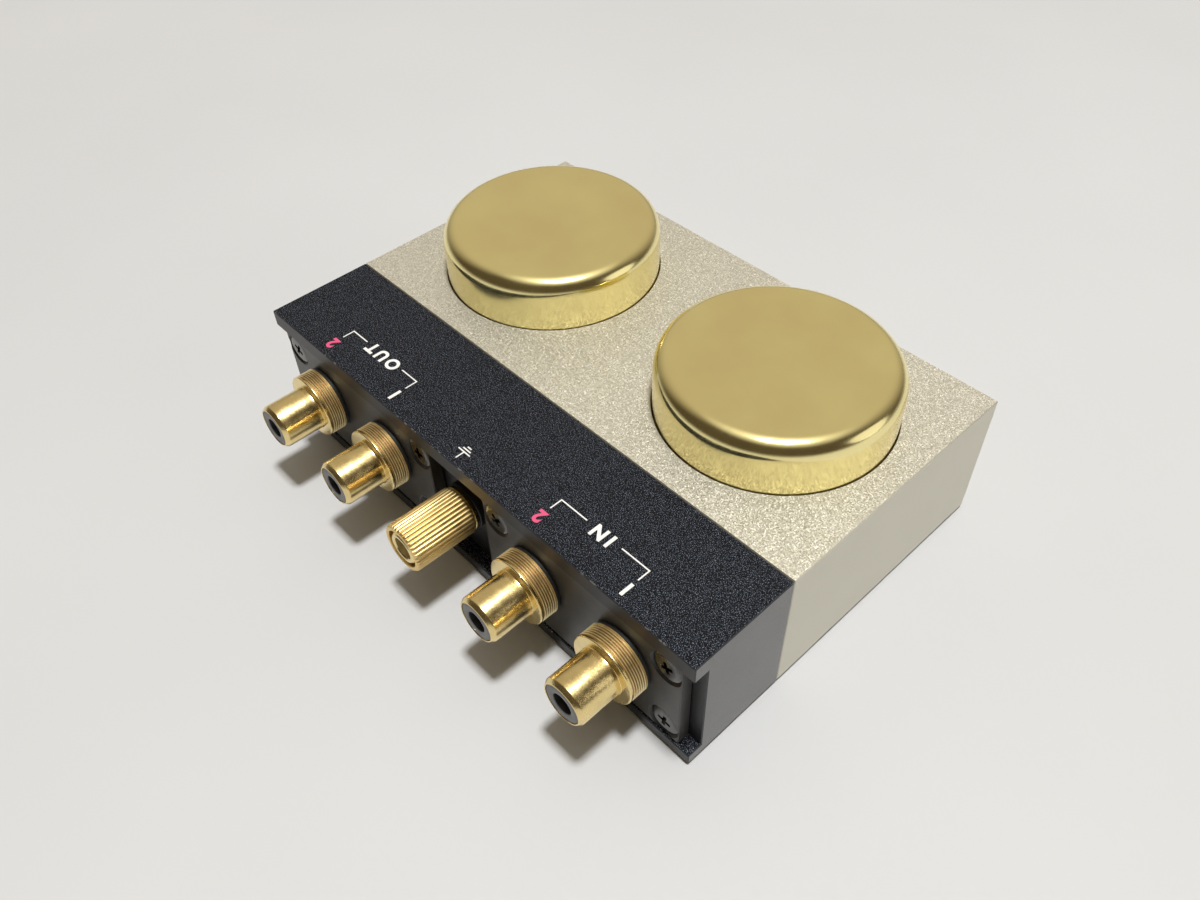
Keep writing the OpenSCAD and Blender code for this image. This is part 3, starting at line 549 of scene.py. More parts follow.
def champagne_finish(name):
    """Fine blasted and anodised aluminium: small facets that catch the lamp one by one."""
    base = tone("champagne")
    skin = Finish(name, base, 1.0)
    fine = skin.noise(*blasted())
    specks = skin.ramp(fine, (0.30, tint(base, 0.92)), (0.5, base), (0.70, tint(base, 1.06)))
    cloud = skin.ramp(skin.noise(60, 3.0), (0.3, 0.97), (0.7, 1.0))
    skin.to("Base Color", skin.mix(1.0, specks, cloud, "MULTIPLY"))
    skin.to("Roughness", skin.span(fine, 0.57, 0.65, *MOST))
    skin.to("Normal", skin.bump(fine, 0.01, 0.3, skin.facets(1 / sizes().grain, 0.40)))
    return skin.material


def milled_champagne_finish(name):
    """Champagne anodised aluminium on the cut ends: finer and without the glitter."""
    return Finish(name, tint(tone("champagne"), 1.05), 1.0).mottled(
        (60, 3.0), ((0.3, 0.97), (0.7, 1.0)), (0.48, 0.56), (0.01, 0.5), blasted())


def edge_highlight_and_knocks_finish(name):
    """Champagne anodised edge, painted lighter as a highlight along the broken edge, with dark
    nicks where it was knocked.
    """
    # The lighter base is a painted highlight on the broken edge; the dark nicks are knocks.
    base = tint(tone("champagne"), 1.15)
    skin = Finish(name, base, 1.0)
    nicks = skin.span(skin.noise(420, 4.0, 0.65), 0.0, 1.0, 0.63, 0.68)
    skin.to("Base Color", skin.mix(nicks, base, (0.10, 0.095, 0.08)))
    skin.to("Roughness", skin.span(nicks, 0.42, 0.7))
    skin.to("Normal", skin.bump(nicks, 0.02, 0.5))
    return skin.material


def black_finish(name):
    """Black anodised aluminium with bare bright specks left by the blasting."""
    base = tone("black")
    flake_scale = 1.2 / sizes().grain
    skin = Finish(name, base)
    skin.even("Specular IOR Level", 0.06)
    fine = skin.noise(*blasted())
    flakes = skin.span(skin.noise(flake_scale, 1.0), 0.0, 1.0, 0.59, 0.74)
    ground = skin.ramp(fine, (0.3, tint(base, 0.7)), (0.7, tint(base, 1.4)))
    skin.to("Base Color", skin.mix(flakes, ground, (0.40, 0.46, 0.60)))
    skin.to("Metallic", skin.span(flakes, 0.0, 0.8))
    skin.to("Roughness", skin.span(fine, 0.36, 0.46, *MOST))
    skin.to("Normal", skin.bump(fine, 0.01, 0.3, skin.facets(flake_scale, 0.36)))
    return skin.material


def milled_black_and_reflection_finish(name):
    """Black anodised aluminium on the cut ends: smoother, so it mirrors at a low angle; its grey
    base is partly painted reflection of the pale floor.
    """
    # The grey base is partly painted reflection of the floor, beside the real gloss that the IOR
    # gives.
    skin = Finish(name, (0.085, 0.085, 0.086))
    skin.even("IOR", 1.77)
    return skin.mottled((160, 3.0), ((0.3, 0.9), (0.7, 1.1)), (0.26, 0.36), (0.01, 0.3), blasted())


def satin_black_finish(name):
    """Black anodised aluminium on the upright and inner faces: no specks, a dull sheen."""
    return Finish(name, tint(tone("black"), 1.7)).mottled(
        (160, 3.0), ((0.3, 0.8), (0.7, 1.2)), (0.34, 0.46), (0.01, 0.4), blasted())


def edge_highlight_and_wear_finish(name):
    """Black anodised edge, painted lighter as a highlight along the broken edge, with the bare
    metal showing where it was knocked.
    """
    base = tone("black")
    skin = Finish(name, base)
    skin.even("Roughness", 0.36)
    bare = skin.span(skin.noise(600, 4.0, 0.65), 0.0, 1.0, 0.60, 0.68)
    # tint(base, 4.0) is a painted highlight on the broken edge; the silver patches are bare metal.
    skin.to("Base Color", skin.mix(bare, tint(base, 4.0), (0.55, 0.55, 0.56)))
    skin.to("Metallic", bare)
    skin.to("Normal", skin.bump(bare, 0.01, 0.3))
    return skin.material


def plate_finish(name):
    """Satin dark grey coat with a faint orange peel."""
    return Finish(name, tone("plate")).mottled(
        (220, 3.0), ((0.35, 0.85), (0.65, 1.2)), (0.32, 0.44), (0.004, 0.6), (9000, 2.0))


def can_finish(name):
    """Polished pale gold with hairline scratches and a soft haze where it was handled."""
    base = tone("can_gold")
    hair_scale = (2600, 60, 200)
    skin = Finish(name, base, 1.0)
    broad = skin.noise(90, 4.0)
    stipple = skin.noise(5200, 2.0)
    hairs, cross_hairs = [
        skin.noise(1, 3.0, 0.6, skin.stretched(hair_scale, (0, 0, turn))) for turn in (0.6, -0.9)]
    scratches = skin.span(skin.reckon("MULTIPLY", hairs, cross_hairs), 0.93, 1.1, 0.12, 0.4)
    haze = skin.span(broad, 0.13, 0.20, *MOST)
    skin.to("Base Color", skin.ramp(broad, (0.3, tint(base, 0.95)), (0.7, tint(base, 1.03))))
    skin.to("Roughness", skin.reckon("MULTIPLY", scratches, haze))
    skin.to("Normal", skin.bump(stipple, 0.001, 0.5, skin.bump(broad, 0.006, 0.25)))
    return skin.material


def socket_finish(name):
    """Gold plate over turned brass: fine rings from the lathe and worn patches."""
    base = tone("socket_gold")
    skin = Finish(name, base, 1.0)
    rings = skin.noise(1, 3.0, 0.6, skin.stretched((120, 14000, 120)))
    patches = skin.noise(420, 4.0, 0.6)
    wear = skin.span(patches, 0.15, 0.25, 0.35, 0.65)
    skin.to("Base Color", skin.ramp(
        patches, (0.3, tint(base, 0.88)), (0.55, base), (0.8, tint(base, 1.05))))
    skin.to("Roughness", skin.reckon("ADD", wear, skin.span(rings, 0.0, 0.06)))
    skin.to("Normal", skin.bump(rings, 0.001, 0.5, skin.facets(7000, 0.06)))
    return skin.material


def lit_thread_finish(name):
    """Thinner, rougher gold plate with the brass showing through on the collar's thread; its
    lighter base is painted highlight on the ridges and painted light in the post's bore.
    """
    return Finish(name, tone("thread_gold"), 1.0).mottled(
        (600, 4.0, 0.6), ((0.3, 0.86), (0.7, 1.08)), (0.40, 0.52), (0.002, 0.4), (7000, 2.0), True)


def knob_finish(name):
    """Satin gold plate over the pressed ridges of the knob."""
    return Finish(name, tone("knob_gold"), 1.0).mottled(
        (700, 4.0, 0.6), ((0.3, 0.92), (0.7, 1.04)), (0.38, 0.5), (0.001, 0.4), (9000, 2.0), True)


def insulator_finish(name):
    """Grey moulded plastic of the sockets."""
    return Finish(name, tone("insulator")).mottled(
        (500, 3.0), ((0.35, 0.88), (0.65, 1.1)), (0.34, 0.48), (0.003, 0.5), (7000, 2.0))


def screw_finish(name):
    """Blackened steel with a slight oily sheen and rubbed spots."""
    return Finish(name, tone("screw"), 1.0).mottled(
        (1500, 3.0, 0.6), ((0.4, 1.0), (0.75, 1.5)), (0.14, 0.24), (0.003, 0.4))


def black_plastic_and_shade_finish(name):
    """Black moulded plastic of the insulating washers, also used as painted shade in the
    countersinks and in the sockets' holes.
    """
    return Finish(name, (0.018, 0.018, 0.019)).mottled(
        (6000, 2.0), ((0.3, (0.014, 0.014, 0.015)), (0.7, (0.024, 0.024, 0.025))),
        (0.38, 0.55), (0.004, 0.5))


def rubber_finish(name):
    """Matt black rubber sheet."""
    return Finish(name, tone("rubber")).mottled(
        (5000, 3.0), ((0.3, 0.7), (0.7, 1.5)), (0.75, 0.95), (0.02, 0.5))


def ink_finish(name, base):
    """Screen-printed ink that lets a little of the grain through."""
    return Finish(name, base).mottled(
        (1.2 / sizes().grain, 2.0), ((0.25, 0.86), (0.5, 1.0)), (0.42, 0.6), (0.03, 0.4))


def plain_metal_finish(name, base, roughness):
    """Drawn or pressed metal with a fine cloudy grain."""
    return Finish(name, base, 1.0).mottled(
        (2500, 3.0, 0.6), ((0.3, 0.88), (0.7, 1.08)), (roughness * 0.8, roughness * 1.2),
        (0.004, 0.5))


def plain_plastic_finish(name, base, roughness, scale=3000):
    """Moulded or coated plastic with a soft mottle."""
    return Finish(name, base).mottled(
        (scale, 3.0, 0.6), ((0.3, 0.85), (0.7, 1.12)), (roughness * 0.85, roughness * 1.15),
        (0.005, 0.5))


def layered_finish(name, base, dark, pitch, axis, metallic, roughness):
    """Thin layers along one axis, as in laminations or a wound coil, with their pitch in mm."""
    skin = Finish(name, base, metallic)
    half = pitch * MM / 2
    share = skin.span(skin.reckon("PINGPONG", skin.along(axis), half), 0.0, 1.0, 0.0, half)
    grain = skin.noise(2500, 3.0)
    layers = skin.ramp(share, (0.1, dark), (0.35, base))
    skin.to("Base Color", skin.mix(0.35, layers, skin.ramp(grain, (0.3, dark), (0.7, base))))
    skin.to("Roughness", skin.span(grain, roughness * 0.8, roughness * 1.2, *MOST))
    skin.to("Normal", skin.bump(share, pitch / 4, 0.6))
    return skin.material


def foam_finish(name):
    """Open-celled grey foam."""
    skin = Finish(name, (0.05, 0.05, 0.052))
    pores = skin.cells(1800)
    skin.to("Base Color", skin.ramp(
        pores, (0.1, (0.015, 0.015, 0.015)), (0.6, (0.075, 0.075, 0.078))))
    skin.to("Roughness", skin.span(pores, 0.9, 1.0))
    skin.to("Normal", skin.bump(pores, 0.2, 0.8))
    return skin.material


def floor_finish(name):
    """Pale board with a faint mottle."""
    return Finish(name, tone("floor")).mottled(
        (9, 4.0), ((0.3, 0.97), (0.7, 1.02)), (0.5, 0.7), (0.02, 0.2), (900, 3.0))


# Places and cutters that more than one piece uses


def socket_x(socket):
    """Where a socket's axis stands along the connector side."""
    return middle(socket + "_shell").x


def can_radii(side):
    """Radius of a can's flange and of its wall, in mm."""
    flange = (high(side + "_can").x - low(side + "_can").x) / 2 / MM
    return flange, flange - CAN_FLANGE / MM


def screw_places():
    """Middle of each jack plate screw, from the plates' corners."""
    across, upright = PLATE_SCREW_INSET
    for plate in PLATES:
        corner, far_corner = PLACES[plate + "_plate"]
        for x in (corner.x + across, far_corner.x - across):
            for z in (corner.z + upright, far_corner.z - upright):
                yield x, z


def lead_openings(y_start, y_end):
    """Cutters for the leads' openings between the two housings."""
    for side in SIDES:
        x = middle(side + "_can").x
        yield block("opening", (x - SLOT_HALF, y_start, COVER_TOP),
                    (x + SLOT_HALF, y_end, COVER_TOP + SLOT_H))


def cover_recess(cover):
    """Cutter for the recess that takes a base cover."""
    corner, far_corner = PLACES[cover]
    gap = Vector((COVER_GAP, COVER_GAP, 0))
    return block("recess", corner - gap - Vector((0, 0, PAST)), far_corner + gap)


def cover_taps(cover):
    """Cutters for the tapped holes above a base cover, one at each screw."""
    corner, far_corner = PLACES[cover]
    if cover == "transformer_cover":
        inset = COVER_SCREW_INSET - COVER_GAP
        places = [(x, y) for x in (corner.x + inset, 0, far_corner.x - inset)
                  for y in (corner.y + inset, far_corner.y - inset)]
    else:
        reach = high("terminal_housing").x - (END_WALL + COVER_LEDGE) / 2
        places = [(x, (corner.y + far_corner.y) / 2) for x in (-reach, reach)]
    for x, y in places:
        yield rod("tap", SCREW_R + FIT, (x, y, COVER_TOP - PAST), (x, y, corner.z + COVER_TAP_TOP))


def joining_holes(y_start, y_end):
    """Cutters for the three screws that hold the housings together."""
    corner, far_corner = PLACES["housing_screws"]
    z = (corner.z + far_corner.z) / 2
    for x in (corner.x + JOIN_HEAD_R, 0, far_corner.x - JOIN_HEAD_R):
        yield hole(SCREW_R + FIT, x, z, y_start, y_end)


# Operators, one for each piece or group of like pieces


class TRANSFORMER_OT_champagne_housing(bpy.types.Operator):
    """Models the champagne housing with its two openings for the cans"""

    bl_idname = "transformer.champagne_housing"
    bl_label = "Champagne housing"

    def execute(self, context):
        corner, far_corner = PLACES["transformer_housing"]
        piece = block("champagne_housing", corner, far_corner)
        break_edges(piece, sizes().housing_edge)
        cutters = [cover_recess("transformer_cover"), *map(self.bore, SIDES)]
        cutters += lead_openings(corner.y - PAST, middle("left_can").y - SLOT_REACH)
        cutters += joining_holes(corner.y - PAST, WALL_Y + JOIN_DEPTH)
        cutters += cover_taps("transformer_cover")
        combine(piece, cutters)
        done(piece, finish("champagne_blasted", champagne_finish), "root", "champagne_aluminium",
             "transformer_housing")
        face_finish(piece, finish("champagne_milled", milled_champagne_finish), cut_end)
        # The broken edge round the deck gets a lighter finish: painted highlight, with knocks.
        face_finish(piece, finish("knocked_edge", edge_highlight_and_knocks_finish), self.on_top_edge)
        return {"FINISHED"}

    def bore(self, side):
        """Cutter for a can's opening: room for its flange, the bore and its broken edge."""
        flange, radius = can_radii(side)
        seat, bore = flange + SEAT_GAP / MM, radius + sizes().can_gap / MM
        edge, deck, past = sizes().bore_edge / MM, DECK_Z / MM, 0.5
        base, shelf = COVER_TOP / MM - past, RING_TOP / MM + 1
        profile = [(0, base), (seat, base), (seat, shelf), (bore, shelf), (bore, deck - edge),
                   (bore + edge + past, deck + past), (0, deck + past)]
        return turned_up("bore", middle(side + "_can"), profile, BORE_STEPS)

    def on_top_edge(self, face):
        """True for a face on the broken edge round the deck."""
        corner, far_corner = PLACES["transformer_housing"]
        centre, reach = face.calc_center_median(), sizes().housing_edge
        at_end = abs(centre.x) > far_corner.x - reach
        at_side = not corner.y + reach <= centre.y <= far_corner.y - reach
        return (at_end or at_side) and broken_edge(face)


class TRANSFORMER_OT_black_housing(bpy.types.Operator):
    """Models the black housing with its groove, cavity and socket wells"""

    bl_idname = "transformer.black_housing"
    bl_label = "Black housing"

    def execute(self, context):
        corner, far_corner = PLACES["terminal_housing"]
        groove_low = low("input_plate").z - PLATE_GAP
        groove_high = high("input_plate").z + PLATE_GAP
        piece = block("black_housing", corner, far_corner)
        combine(piece, [block("groove", (corner.x - PAST, corner.y - PAST, groove_low),
                              (far_corner.x + PAST, GROOVE_Y, groove_high))])
        break_edges(piece, sizes().housing_edge)
        cutters = [
            cover_recess("terminal_cover"),
            block("cavity", (corner.x + END_WALL, CAVITY_Y, COVER_TOP - PAST / 2),
                  (far_corner.x - END_WALL, WALL_Y, groove_high))]
        cutters += lead_openings(WALL_Y - PAST, far_corner.y + PAST)
        wells = [(WELL_R, socket_x(socket)) for socket in SOCKETS]
        for radius, x in (*wells, (POST_R + FIT, 0)):
            cutters.append(
                hole(radius, x, SOCKET_Z, GROOVE_Y - PAST, CAVITY_Y + PAST, WELL_STEPS))
        for x, z in screw_places():
            cutters.append(hole(SCREW_R + FIT, x, z, GROOVE_Y - PAST, PLATE_Y + PLATE_TAP_DEPTH))
        cutters += joining_holes(WALL_Y - PAST, far_corner.y + PAST)
        cutters += cover_taps("terminal_cover")
        combine(piece, cutters)
        done(piece, finish("black_blasted", black_finish), "root", "black_aluminium",
             "terminal_housing")
        face_finish(piece, finish("satin_black", satin_black_finish), self.not_deck)
        # The cut ends get a greyer black: smoother gloss, and partly painted reflection of the
        # floor.
        face_finish(piece, finish("black_milled", milled_black_and_reflection_finish), cut_end)
        # The broken edges at the front and ends get a lighter black: painted highlight, with bare
        # metal where worn.
        face_finish(piece, finish("worn_edge", edge_highlight_and_wear_finish), self.on_front_edge)
        return {"FINISHED"}

    def not_deck(self, face):
        """True for a face that doesn't look up, as the deck and its broken edges do."""
        return face.normal.z < BROKEN[0]

    def on_front_edge(self, face):
        """True for a face on the broken edges at the front and the ends of the deck."""
        return broken_edge(face) and face.normal.y < BROKEN[0]


class TRANSFORMER_OT_pads(bpy.types.Operator):
    """Models the rubber pads under the housings"""

    bl_idname = "transformer.pads"
    bl_label = "Rubber pads"

    def execute(self, context):
        for name, node in (("champagne_pad", "transformer_pad"), ("black_pad", "terminal_pad")):
            piece = break_edges(block(name, *PLACES[node]), PAD_EDGE)
            done(piece, finish("rubber_sheet", rubber_finish), "root", "rubber_pad", node)
        return {"FINISHED"}


class TRANSFORMER_OT_cans(bpy.types.Operator):
    """Models the two drawn cans with their rounded tops and hidden flanges"""

    bl_idname = "transformer.cans"
    bl_label = "Gold cans"

    def execute(self, context):
        first, start = None, None
        for side in SIDES:
            name, place = side + "_gold_can", middle(side + "_can")
            if first:
                piece = copied(first, name, place - start)
            else:
                start = place
                first = piece = turned_up(name, place, self.profile(side), CAN_STEPS)
            done(piece, finish("polished_gold", can_finish), "root", "polished_can", side + "_can")
        return {"FINISHED"}

    def profile(self, side):
        """Flange, wall and rounded top from outside, then the inside, as (radius, height)."""
        wall, edge, deck = sizes().can_wall / MM, sizes().can_edge / MM, DECK_Z / MM
        foot, top = low(side + "_can").z / MM, high(side + "_can").z / MM
        flange, radius = can_radii(side)
        inner, crown = radius - wall, radius - edge
        rim, lip, bend, flat = 1, 0.1, 0.5, 0.25
        points = [(inner, foot), (flange - lip, foot), (flange, foot + lip),
                  (flange, foot + rim - lip), (flange - lip, foot + rim),
                  (radius + bend, foot + rim)]
        points += arc(radius + bend, foot + rim + bend, bend, 270, 180, 4)
        points += [(radius, deck), (radius, top - edge - flat)]
        points += arc(crown, top - edge, edge, 0, 90, 18)
        points += [(crown - flat, top), (crown / 2, top), (0, top), (0, top - wall),
                   (crown, top - wall)]
        points += arc(crown, top - edge, edge - wall, 90, 0, 10)
        points += [(inner, deck)]
        return points


class TRANSFORMER_OT_jack_plates(bpy.types.Operator):
    """Models the two jack plates with their socket holes and countersinks"""

    bl_idname = "transformer.jack_plates"
    bl_label = "Jack plates"

    sink_r = 3.1

    def execute(self, context):
        for plate in PLATES:
            node = plate + "_plate"
            corner, far_corner = PLACES[node]
            piece = block(plate + "_jack_plate", corner, far_corner)
            break_edges(piece, sizes().plate_edge)
            cutters = [hole(SOCKET_HOLE_R, socket_x(socket), SOCKET_Z, corner.y - PAST,
                            far_corner.y + PAST, SOCKET_STEPS)
                       for socket in SOCKETS if socket.startswith(plate)]
            cutters += [self.countersink(x, z)
                        for x, z in screw_places() if corner.x < x < far_corner.x]
            combine(piece, cutters)
            done(piece, finish("satin_plate", plate_finish), "root", "jack_plate", node)
            # The cut cones round the screws get black plastic: painted shade in the countersinks.
            face_finish(piece, finish("black_washer", black_plastic_and_shade_finish), self.in_countersink)
        return {"FINISHED"}

    def countersink(self, x, z):
        """Cutter for a screw's hole, its cone and the broken edge round it, as (radius, reach)."""
        shank = 1.55
        profile = [(0, 0.5), (self.sink_r, 0.5), (self.sink_r, 0.0), (2.86, -0.24),
                   (shank, -1.7), (shank, -3.5), (0, -3.5)]
        return turned_out("countersink", (x, PLATE_Y, z), profile, SCREW_STEPS)

    def in_countersink(self, face):
        """True for a face on the cut cone round a screw."""
        centre, reach = face.calc_center_median(), (self.sink_r + 0.1) * MM
        near = any(from_axis(centre, x, z) < reach for x, z in screw_places())
        return near and abs(face.normal.y) < BROKEN[1]


class TRANSFORMER_OT_plate_screws(bpy.types.Operator):
    """Models one countersunk cross-head screw and copies it to each place on the plates"""

    bl_idname = "transformer.plate_screws"
    bl_label = "Plate screws"

    # Turn of each screw's cross in degrees; the first has none
    turns = (0, -27, 40, 5, -18, 33, -8, 22)

    def execute(self, context):
        face = low("jack_plate_screws").y
        first, start = None, None
        for number, ((x, z), turn) in enumerate(zip(screw_places(), self.turns), 1):
            name, place = f"plate_screw_{number}", Vector((x, face, z))
            if first:
                piece = copied(first, name, place - start, math.radians(turn))
            else:
                start = place
                first = piece = turned_out(name, (x, face, z), self.profile(), SCREW_STEPS)
                combine(piece, [self.wing(place, 0), self.wing(place, math.pi / 2)])
            done(piece, finish("blackened_screw", screw_finish), "root", "black_screw",
                 "jack_plate_screws")
        return {"FINISHED"}

    def profile(self):
        """Head with a rounded rim, cone and shank, as (radius, reach)."""
        shank, end = 1.5, -6.5
        return [(0, 0), (1.8, 0), (2.15, -0.02), (2.45, -0.08), (2.65, -0.16), (2.78, -0.27),
                (2.74, -0.33), (shank, -1.6), (shank, end + 0.4), (shank - 0.3, end), (0, end)]

    def wing(self, place, turn):
        """One tapered wing of the cross recess."""
        half, depth, reach = 0.42 * MM, 1.2 * MM, 1.75 * MM
        taper = (0.35, 1, 0.6)
        piece = block("wing", place - Vector((reach, PAST, half)),
                      place + Vector((reach, depth, half)))
        select_where(piece, "FACE", lambda face: face.normal.y > SQUARE)
        bpy.ops.transform.resize(value=taper, center_override=place)
        bpy.ops.mesh.select_all(action="SELECT")
        bpy.ops.transform.rotate(value=turn, orient_axis="Y", center_override=place)
        bpy.ops.object.mode_set(mode="OBJECT")
        return piece


class TRANSFORMER_OT_sockets(bpy.types.Operator):
    """Models one phono socket and copies it to the four places"""

    bl_idname = "transformer.sockets"
    bl_label = "Phono sockets"

    # Radius of the collar, of the hole in the insulator, and where the thread starts and ends
    collar_r = 6.05
    hole_r = 1.85
    thread_reach = (0.85, 3.75)

    def execute(self, context):
        start = middle(SOCKETS[0] + "_shell")
        place = (start.x, PLATE_Y, SOCKET_Z)
        gold = finish("gold_plated", socket_finish)
        thread = finish("thread_gold", lit_thread_finish)
        # Darker gold for the grooves of the thread: painted shade.
        groove_shade = finish("thread_dark", plain_metal_finish, (0.50, 0.33, 0.14), 0.45)
        grey = finish("grey_insulator", insulator_finish)
        black = finish("black_washer", black_plastic_and_shade_finish)
        firsts = (
            ("shell", turned_out("shell", place, self.shell()), gold, "gold_plate"),
            ("insulator", turned_out("insulator", place, self.insulator()), grey, "grey_insulator"),
            ("contact", self.contact(place), gold, "gold_plate"),
            ("washer", turned_out("washer", place, self.washer()), black, "black_plastic"))
        for socket in SOCKETS:
            shift = middle(socket + "_shell") - start
            for kind, first, look, slot in firsts:
                node = "jack_front_washers" if kind == "washer" else f"{socket}_{kind}"
                piece = copied(first, f"{socket}_socket_{kind}", shift)
                done(piece, look, "root", slot, node)
                x = start.x + shift.x
                if kind == "insulator":
                    # The wall of the insulator's hole gets black plastic: painted shade inside the
                    # hole.
                    face_finish(piece, black, lambda face: self.in_hole(face, x))
                if kind == "shell":
                    # Lighter gold on the ridges is a painted highlight, darker gold in the grooves
                    # is painted shade.
                    face_finish(piece, thread, lambda face: self.on_thread(face, x, False))
                    face_finish(piece, groove_shade, lambda face: self.on_thread(face, x, True))
        for kind, first, look, slot in firsts:
            bpy.data.objects.remove(first)
        return {"FINISHED"}

    def in_hole(self, face, x):
        """True for a face on the wall of the insulator's hole."""
        reach = (self.hole_r + 0.01) * MM
        return all(from_axis(vertex.co, x, SOCKET_Z) < reach for vertex in face.verts)

    def on_thread(self, face, x, groove):
        """True for a face on the collar's ridges, or in the grooves between them."""
        centre = face.calc_center_median()
        start, end = self.thread_reach
        if not start * MM < PLATE_Y - centre.y < end * MM:
            return False
        radius = from_axis(centre, x, SOCKET_Z)
        edge = self.collar_r * MM - 0.55 * sizes().collar_groove
        return (self.collar_r - 0.35) * MM < radius < edge if groove else radius >= edge

    def shell(self):
        """Neck, threaded collar and barrel, as (radius, reach)."""
        collar, barrel, neck, inside = self.collar_r, 4.125, 4.5, 3.45
        tail, back, front, tip = -6.75, 0.7, 4.2, 12.0
        pitch, rim, flat, round_r, fillet = 0.42, 0.3, 0.02, 0.25, 0.12
        root = collar - sizes().collar_groove / MM
        flank = collar - sizes().collar_groove / MM / 2
        thread = back + rim
        points = [(inside, tail), (neck - 0.3, tail), (neck, tail + 0.3), (neck, back),
                  (collar - 0.2, back), (collar - 0.06, back + 0.05), (collar, back + 0.15),
                  (collar, thread - pitch / 4)]
        for ridge in range(sizes().collar_ridges):
            at = thread + ridge * pitch
            crest = at + pitch / 2
            points += [(root, at - flat), (root, at + flat), (flank, at + pitch / 4),
                       (collar - 0.03, crest - 0.06), (collar, crest),
                       (collar - 0.03, crest + 0.06), (flank, at + 3 * pitch / 4)]
        at = thread + sizes().collar_ridges * pitch
        points += [(root, at - flat), (root, at + flat), (collar - flat, at + pitch / 4 + 0.06)]
        points += arc(collar - round_r, front - round_r, round_r, 0, 90, 5)
        points += [(barrel + fillet + 0.1, front)]
        points += arc(barrel + fillet, front + fillet, fillet, 270, 180, 4)
        points += [(barrel, front + 0.6), (barrel, tip - 0.85), (barrel - 0.02, tip - 0.72),
                   (barrel - 0.07, tip - 0.63), (barrel - 0.44, tip - 0.07),
                   (barrel - 0.5, tip - 0.02), (barrel - 0.55, tip), (inside + 0.06, tip),
                   (inside, tip - 0.06)]
        return points

    def insulator(self):
        """Plastic tube with a flat face and a hole, as (radius, reach)."""
        outside, inside, hole_r = 3.4, 2.15, self.hole_r
        tail, contact, face = -7.75, 9.9, 11.9
        return [(inside, tail), (outside, tail), (outside, face - 0.12),
                (outside - 0.04, face - 0.04), (outside - 0.12, face),
                (hole_r + 0.14, face), (hole_r + 0.04, face - 0.04),
                (hole_r, face - 0.14), (hole_r, contact), (inside, contact)]

    def washer(self):
        """Washer in front of the plate with the sleeve that lines its hole, as (radius, reach)."""
        inside, sleeve, back, front = 4.55, 5.1, -1.2, 0.7
        return [(inside, back), (sleeve, back), (sleeve, 0), (5.65, 0), (5.8, 0.12),
                (5.8, front - 0.12), (5.68, front), (inside, front)]

    def contact(self, place):
        """Slit centre contact with its solder tail, as (radius, reach)."""
        outside, inside, tail_r = 2.1, 1.65, 0.9
        floor, mouth, back, end = 0.9, 9.9, -7.75, -11.35
        profile = [(0, floor), (inside, floor), (inside, mouth - 0.3), (inside + 0.2, mouth),
                   (outside - 0.08, mouth), (outside, mouth - 0.1), (outside, back), (tail_r, back),
                   (tail_r, end + 0.15), (tail_r - 0.15, end), (0, end)]
        piece = turned_out("contact", place, profile)
        slits = []
        for wide, tall in ((2.5, 0.18), (0.18, 2.5)):
            slits.append(block(
                "slit", (place[0] - wide * MM, PLATE_Y - 10.5 * MM, SOCKET_Z - tall * MM),
                (place[0] + wide * MM, PLATE_Y - 4.5 * MM, SOCKET_Z + tall * MM)))
        return combine(piece, slits)


